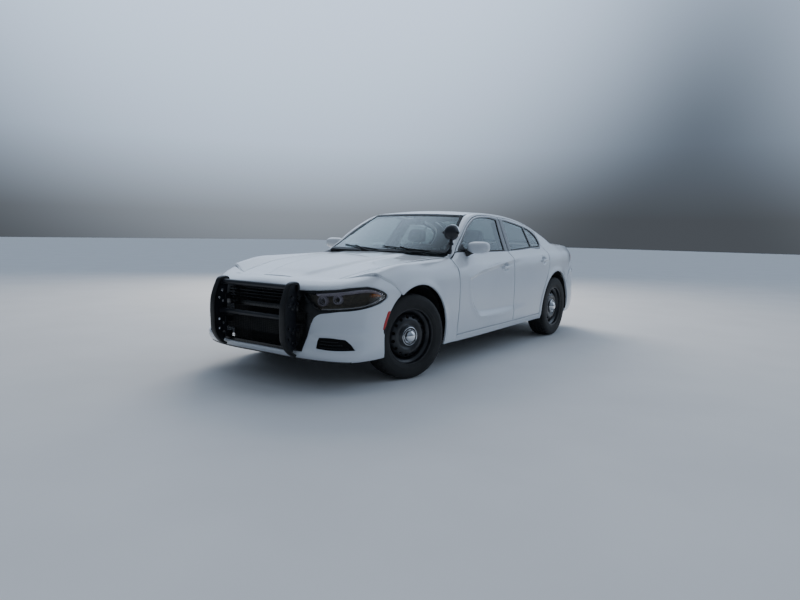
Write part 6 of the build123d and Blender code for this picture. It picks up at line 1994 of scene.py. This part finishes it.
def head_shape(p):
    p = p.copy()
    p[:, 0] *= 1 - 0.10 * np.clip(p[:, 2] / 0.085, -1, 1)
    t = math.radians(12)
    y, z = p[:, 1].copy(), p[:, 2].copy()
    p[:, 1] = y * math.cos(t) + z * math.sin(t)
    p[:, 2] = -y * math.sin(t) + z * math.cos(t)
    return p + [CX, 1.885, 1.195]


def at_x(x0, lo, hi, axis, face):
    """Seam along the car at distance x0 from the seat's middle."""
    def fn(Q, N):
        d = np.abs(np.abs(Q[:, 0] - CX) - x0)
        return d, (Q[:, axis] > lo) * (Q[:, axis] < hi) * face(N)
    return fn


def across(val, axis, xlim, face, tilt=0.0):
    def fn(Q, N):
        q = Q[:, axis] + tilt * (Q[:, 1] - 1.8)
        return np.abs(q - val), (np.abs(Q[:, 0] - CX) < xlim) * face(N)
    return fn


up_ = lambda N: step01((N[:, 2] - 0.15) / 0.3)
fw_ = lambda N: step01((-N[:, 1] - 0.15) / 0.3)
c1 = settle("seat_cushion_left", blob((0.236, 0.245, 0.055), (0.32, 0.5), 56, 24, cushion_shape), "root",
            ["front_seats"], 0.022, seams=[at_x(0.135, 1.34, 1.80, 1, up_), across(1.47, 1, 0.135, up_),
                                               across(1.60, 1, 0.135, up_)])
b1 = settle("seat_back_left", blob((0.226, 0.050, 0.300), (0.5, 0.36), 56, 32, back_shape), "root", [], 0.022,
            seams=[at_x(0.128, 0.60, 1.06, 2, fw_), across(0.74, 2, 0.128, fw_), across(0.88, 2, 0.128, fw_),
                   across(1.02, 2, 0.20, fw_)])
h1 = settle("seat_headrest_left", blob((0.118, 0.040, 0.075), (0.5, 0.45), 40, 24, head_shape), "root", [], 0.014,
            voxel=0.005, seams=[at_x(0.100, 1.10, 1.30, 2, fw_)])
for o_, nm_ in ((c1, "seat_cushion_right"), (b1, "seat_back_right"), (h1, "seat_headrest_right")):
    twin(o_, nm_)
CX = 0.0


def bench_shape(p):
    p = p.copy()
    y = p[:, 1] / 0.20
    dip = np.exp(-((np.abs(p[:, 0]) - 0.30) / 0.13) ** 2)
    p[:, 2] -= np.where(p[:, 2] > 0, 0.022 * dip, 0)
    p[:, 2] += 0.030 * (1 - (y + 1) / 2)
    return p + [0, 2.405, 0.490]


def bench_back_shape(p):
    p = p.copy()
    dip = np.exp(-((np.abs(p[:, 0]) - 0.29) / 0.13) ** 2)
    p[:, 1] += np.where(p[:, 1] < 0, 0.020 * dip, 0)
    t = math.radians(20)
    y, z = p[:, 1].copy(), p[:, 2].copy()
    p[:, 1] = y * math.cos(t) + z * math.sin(t)
    p[:, 2] = -y * math.sin(t) + z * math.cos(t)
    p[:, 2] += 0.020 * np.where(p[:, 2] > 0.18, np.exp(-((np.abs(p[:, 0]) - 0.30) / 0.10) ** 2), 0)
    return p + [0, 2.625, 0.765]


settle("rear_cushion", blob((0.570, 0.205, 0.070), (0.22, 0.45), 96, 24, bench_shape), "root", ["rear_seat"], 0.022,
       VINYL, voxel=0.0068, seams=[at_x(0.145, 2.22, 2.62, 1, up_), at_x(0.43, 2.22, 2.62, 1, up_)])
settle("rear_backrest", blob((0.565, 0.048, 0.235), (0.28, 0.30), 96, 28, bench_back_shape), "root", [], 0.020,
       VINYL, voxel=0.0068, seams=[at_x(0.145, 0.55, 1.00, 2, fw_), at_x(0.42, 0.55, 1.00, 2, fw_)])
# seat frames, posts and rails
fr_bits, posts = [], []
for k in (1, -1):
    cx = k * 0.385
    fr_bits.append(prism([(1.335, 0.395), (1.80, 0.385), (1.835, 0.44), (1.80, 0.475), (1.36, 0.478), (1.325, 0.45)],
                         "x", cx - 0.232, cx - 0.205, 0.008))
    fr_bits.append(prism([(1.335, 0.395), (1.80, 0.385), (1.835, 0.44), (1.80, 0.475), (1.36, 0.478), (1.325, 0.45)],
                         "x", cx + 0.205, cx + 0.232, 0.008))
    fr_bits.append(prism(rounded(cx, 1.565, 0.205, 0.215, 0.03), "z", 0.405, 0.435, 0.006))
    for dx in (-0.17, 0.17):
        fr_bits.append(prism([(1.32, 0.300), (1.80, 0.300), (1.80, 0.332), (1.32, 0.332)], "x", cx + dx - 0.018,
                             cx + dx + 0.018, 0.003))
        for s_ in (1.40, 1.72):
            posts.append(sweep(np.array([[cx + dx, s_, 0.325], [cx + dx, s_, 0.41]]), 0.014, 12))
    for dx in (-0.055, 0.055):
        posts.append(sweep(np.array([[cx + dx, 1.868, 1.08], [cx + dx, 1.876, 1.13], [cx + dx, 1.884, 1.165]]), 0.006, 12))
make("seat_frames", *bits(fr_bits), PLAST, "root", "trim_plastic")
make("seat_posts", *bits(posts), ALU, "root", "cast_metal")

# ---------------------------------------------------------------- engine bay
cover = []
cvv, cff = blob((0.24, 0.30, 0.032), (0.28, 0.5))
cover.append((cvv + [0, 0.03, 0.790], cff))
for x_ in np.linspace(-0.17, 0.17, 5):
    cover.append(sweep(np.array([[x_, -0.20, 0.822], [x_, 0.0, 0.825], [x_, 0.24, 0.822]]), 0.006, 8))
make("engine_cover", *bits(cover), PLAST, "root", "cast_metal")
side_box = []
for cx, cs, hx, hs, hz, cz in ((0.46, -0.36, 0.10, 0.10, 0.09, 0.660), (-0.46, -0.34, 0.11, 0.09, 0.10, 0.655)):
    bv, bf = blob((hx, hs, hz), (0.22, 0.22))
    side_box.append((bv + [cx, cs, cz], bf))
make("engine_bay_boxes", *bits(side_box), PLAST, "root", "black_plastic")
hoses = [sweep(trace([(0.20, -0.36, 0.74), (0.30, -0.48, 0.72), (0.33, -0.60, 0.66), (0.30, -0.70, 0.60)], 0.02), 0.022, 14),
         sweep(trace([(-0.14, -0.30, 0.80), (-0.26, -0.36, 0.79), (-0.40, -0.37, 0.765), (-0.46, -0.35, 0.745)], 0.02),
               0.034, 16)]
make("engine_hoses", *bits(hoses), SEAL, "root", "black_plastic")
rad = prism([(-0.740, 0.300), (-0.700, 0.300), (-0.700, 0.745), (-0.740, 0.745)], "x", -0.36, 0.36, 0.004)
make("radiator", *rad, ALU, "root", "cast_metal")

# ---------------------------------------------------------------- floor, lights and camera
fm = mat("floor_paper", (0.70, 0.70, 0.70), (0.735, 0.735, 0.735), 1.2, (0.7, 0.85), bump=0.05, bump_scale=60)
v, f = bits([prism([(-70, -70), (70, -70), (70, 70), (-70, 70)], "z", -0.03, 0.0)])
me = bpy.data.meshes.new("floor")
me.from_pydata([tuple(p) for p in v], [], f)
me.materials.append(fm)
floor = bpy.data.objects.new("floor", me)
bpy.context.scene.collection.objects.link(floor)

world = bpy.data.worlds.new("studio")
bpy.context.scene.world = world
world.use_nodes = True
wn = world.node_tree
bg = wn.nodes["Background"]
tc = wn.nodes.new("ShaderNodeTexCoord")
sx = wn.nodes.new("ShaderNodeSeparateXYZ")
wn.links.new(tc.outputs["Generated"], sx.inputs["Vector"])
mr = wn.nodes.new("ShaderNodeMapRange")
mr.inputs["From Min"].default_value, mr.inputs["From Max"].default_value = -0.1, 0.9
wn.links.new(sx.outputs["Z"], mr.inputs["Value"])
rp = wn.nodes.new("ShaderNodeValToRGB")
rp.color_ramp.elements[0].color = (0.23, 0.26, 0.30, 1)
rp.color_ramp.elements[1].color = (0.66, 0.80, 1.0, 1)
for at, col in ((0.13, (0.23, 0.26, 0.30, 1)), (0.24, (0.38, 0.47, 0.60, 1)), (0.55, (0.50, 0.62, 0.80, 1))):
    e = rp.color_ramp.elements.new(at)
    e.color = col
wn.links.new(mr.outputs["Result"], rp.inputs["Fac"])
# soft bright lobe of the studio's back light
dot = wn.nodes.new("ShaderNodeVectorMath")
dot.operation = "DOT_PRODUCT"
dot.inputs[1].default_value = Vector((-0.62, 0.60, 0.50)).normalized()
wn.links.new(tc.outputs["Generated"], dot.inputs[0])
lobe = wn.nodes.new("ShaderNodeMapRange")
lobe.interpolation_type = "SMOOTHERSTEP"
lobe.inputs["From Min"].default_value, lobe.inputs["From Max"].default_value = 0.74, 1.0
lobe.inputs["To Max"].default_value = 1.7
wn.links.new(dot.outputs["Value"], lobe.inputs["Value"])
# wide soft panel behind the car's left side
dot2 = wn.nodes.new("ShaderNodeVectorMath")
dot2.operation = "DOT_PRODUCT"
dot2.inputs[1].default_value = Vector((0.46, 0.80, 0.42)).normalized()
wn.links.new(tc.outputs["Generated"], dot2.inputs[0])
lobe2 = wn.nodes.new("ShaderNodeMapRange")
lobe2.interpolation_type = "SMOOTHERSTEP"
lobe2.inputs["From Min"].default_value, lobe2.inputs["From Max"].default_value = 0.72, 1.0
lobe2.inputs["To Min"].default_value, lobe2.inputs["To Max"].default_value = 0.32, 1.7
wn.links.new(dot2.outputs["Value"], lobe2.inputs["Value"])
add = wn.nodes.new("ShaderNodeMath")
add.operation = "ADD"
wn.links.new(lobe.outputs["Result"], add.inputs[0])
wn.links.new(lobe2.outputs["Result"], add.inputs[1])
wn.links.new(add.outputs["Value"], bg.inputs["Strength"])
wn.links.new(rp.outputs["Color"], bg.inputs["Color"])


def area_light(name, loc, target, size, power, colour, size_y=None):
    d = bpy.data.lights.new(name, "AREA")
    d.energy, d.size, d.color = power, size, colour
    if size_y:
        d.shape, d.size_y = "RECTANGLE", size_y
    o = bpy.data.objects.new(name, d)
    o.location = loc
    o.rotation_mode = "QUATERNION"
    o.rotation_quaternion = (Vector(target) - Vector(loc)).to_track_quat("-Z", "Y")
    bpy.context.scene.collection.objects.link(o)
    return o


key = area_light("key", (-5.5, 5.5, 6.0), (0, 0, 0.9), 5.0, 680, (1.0, 0.94, 0.86))
top = area_light("top", (0.0, 0.5, 6.5), (0, 0, 0.5), 3.0, 60, (0.93, 0.96, 1.0), 7.0)
fill = area_light("fill", (8.0, -7.0, 3.6), (0, 0, 0.6), 6.0, 50, (0.80, 0.90, 1.0))
for lamp in (key, top, fill):
    lamp.visible_glossy = lamp.visible_transmission = False

cam_data = bpy.data.cameras.new("camera")
cam_data.sensor_width = 36.0
cam_data.lens = 603.9 / 800 * 36.0
cam_data.clip_start, cam_data.clip_end = 0.05, 200
cam = bpy.data.objects.new("camera", cam_data)
bpy.context.scene.collection.objects.link(cam)
yaw, pitch, roll = math.radians(35.63), math.radians(-6.19), math.radians(1.26)
fwd = Vector((-math.sin(yaw) * math.cos(pitch), math.cos(yaw) * math.cos(pitch), math.sin(pitch)))
rt = fwd.cross(Vector((0, 0, 1))).normalized()
up = rt.cross(fwd)
right2 = math.cos(roll) * rt + math.sin(roll) * up
up2 = -math.sin(roll) * rt + math.cos(roll) * up
rot = Matrix((right2, up2, -fwd)).transposed()
cam.matrix_world = Matrix.Translation((3.721, -4.167 - MID, 1.207)) @ rot.to_4x4()
bpy.context.scene.camera = cam
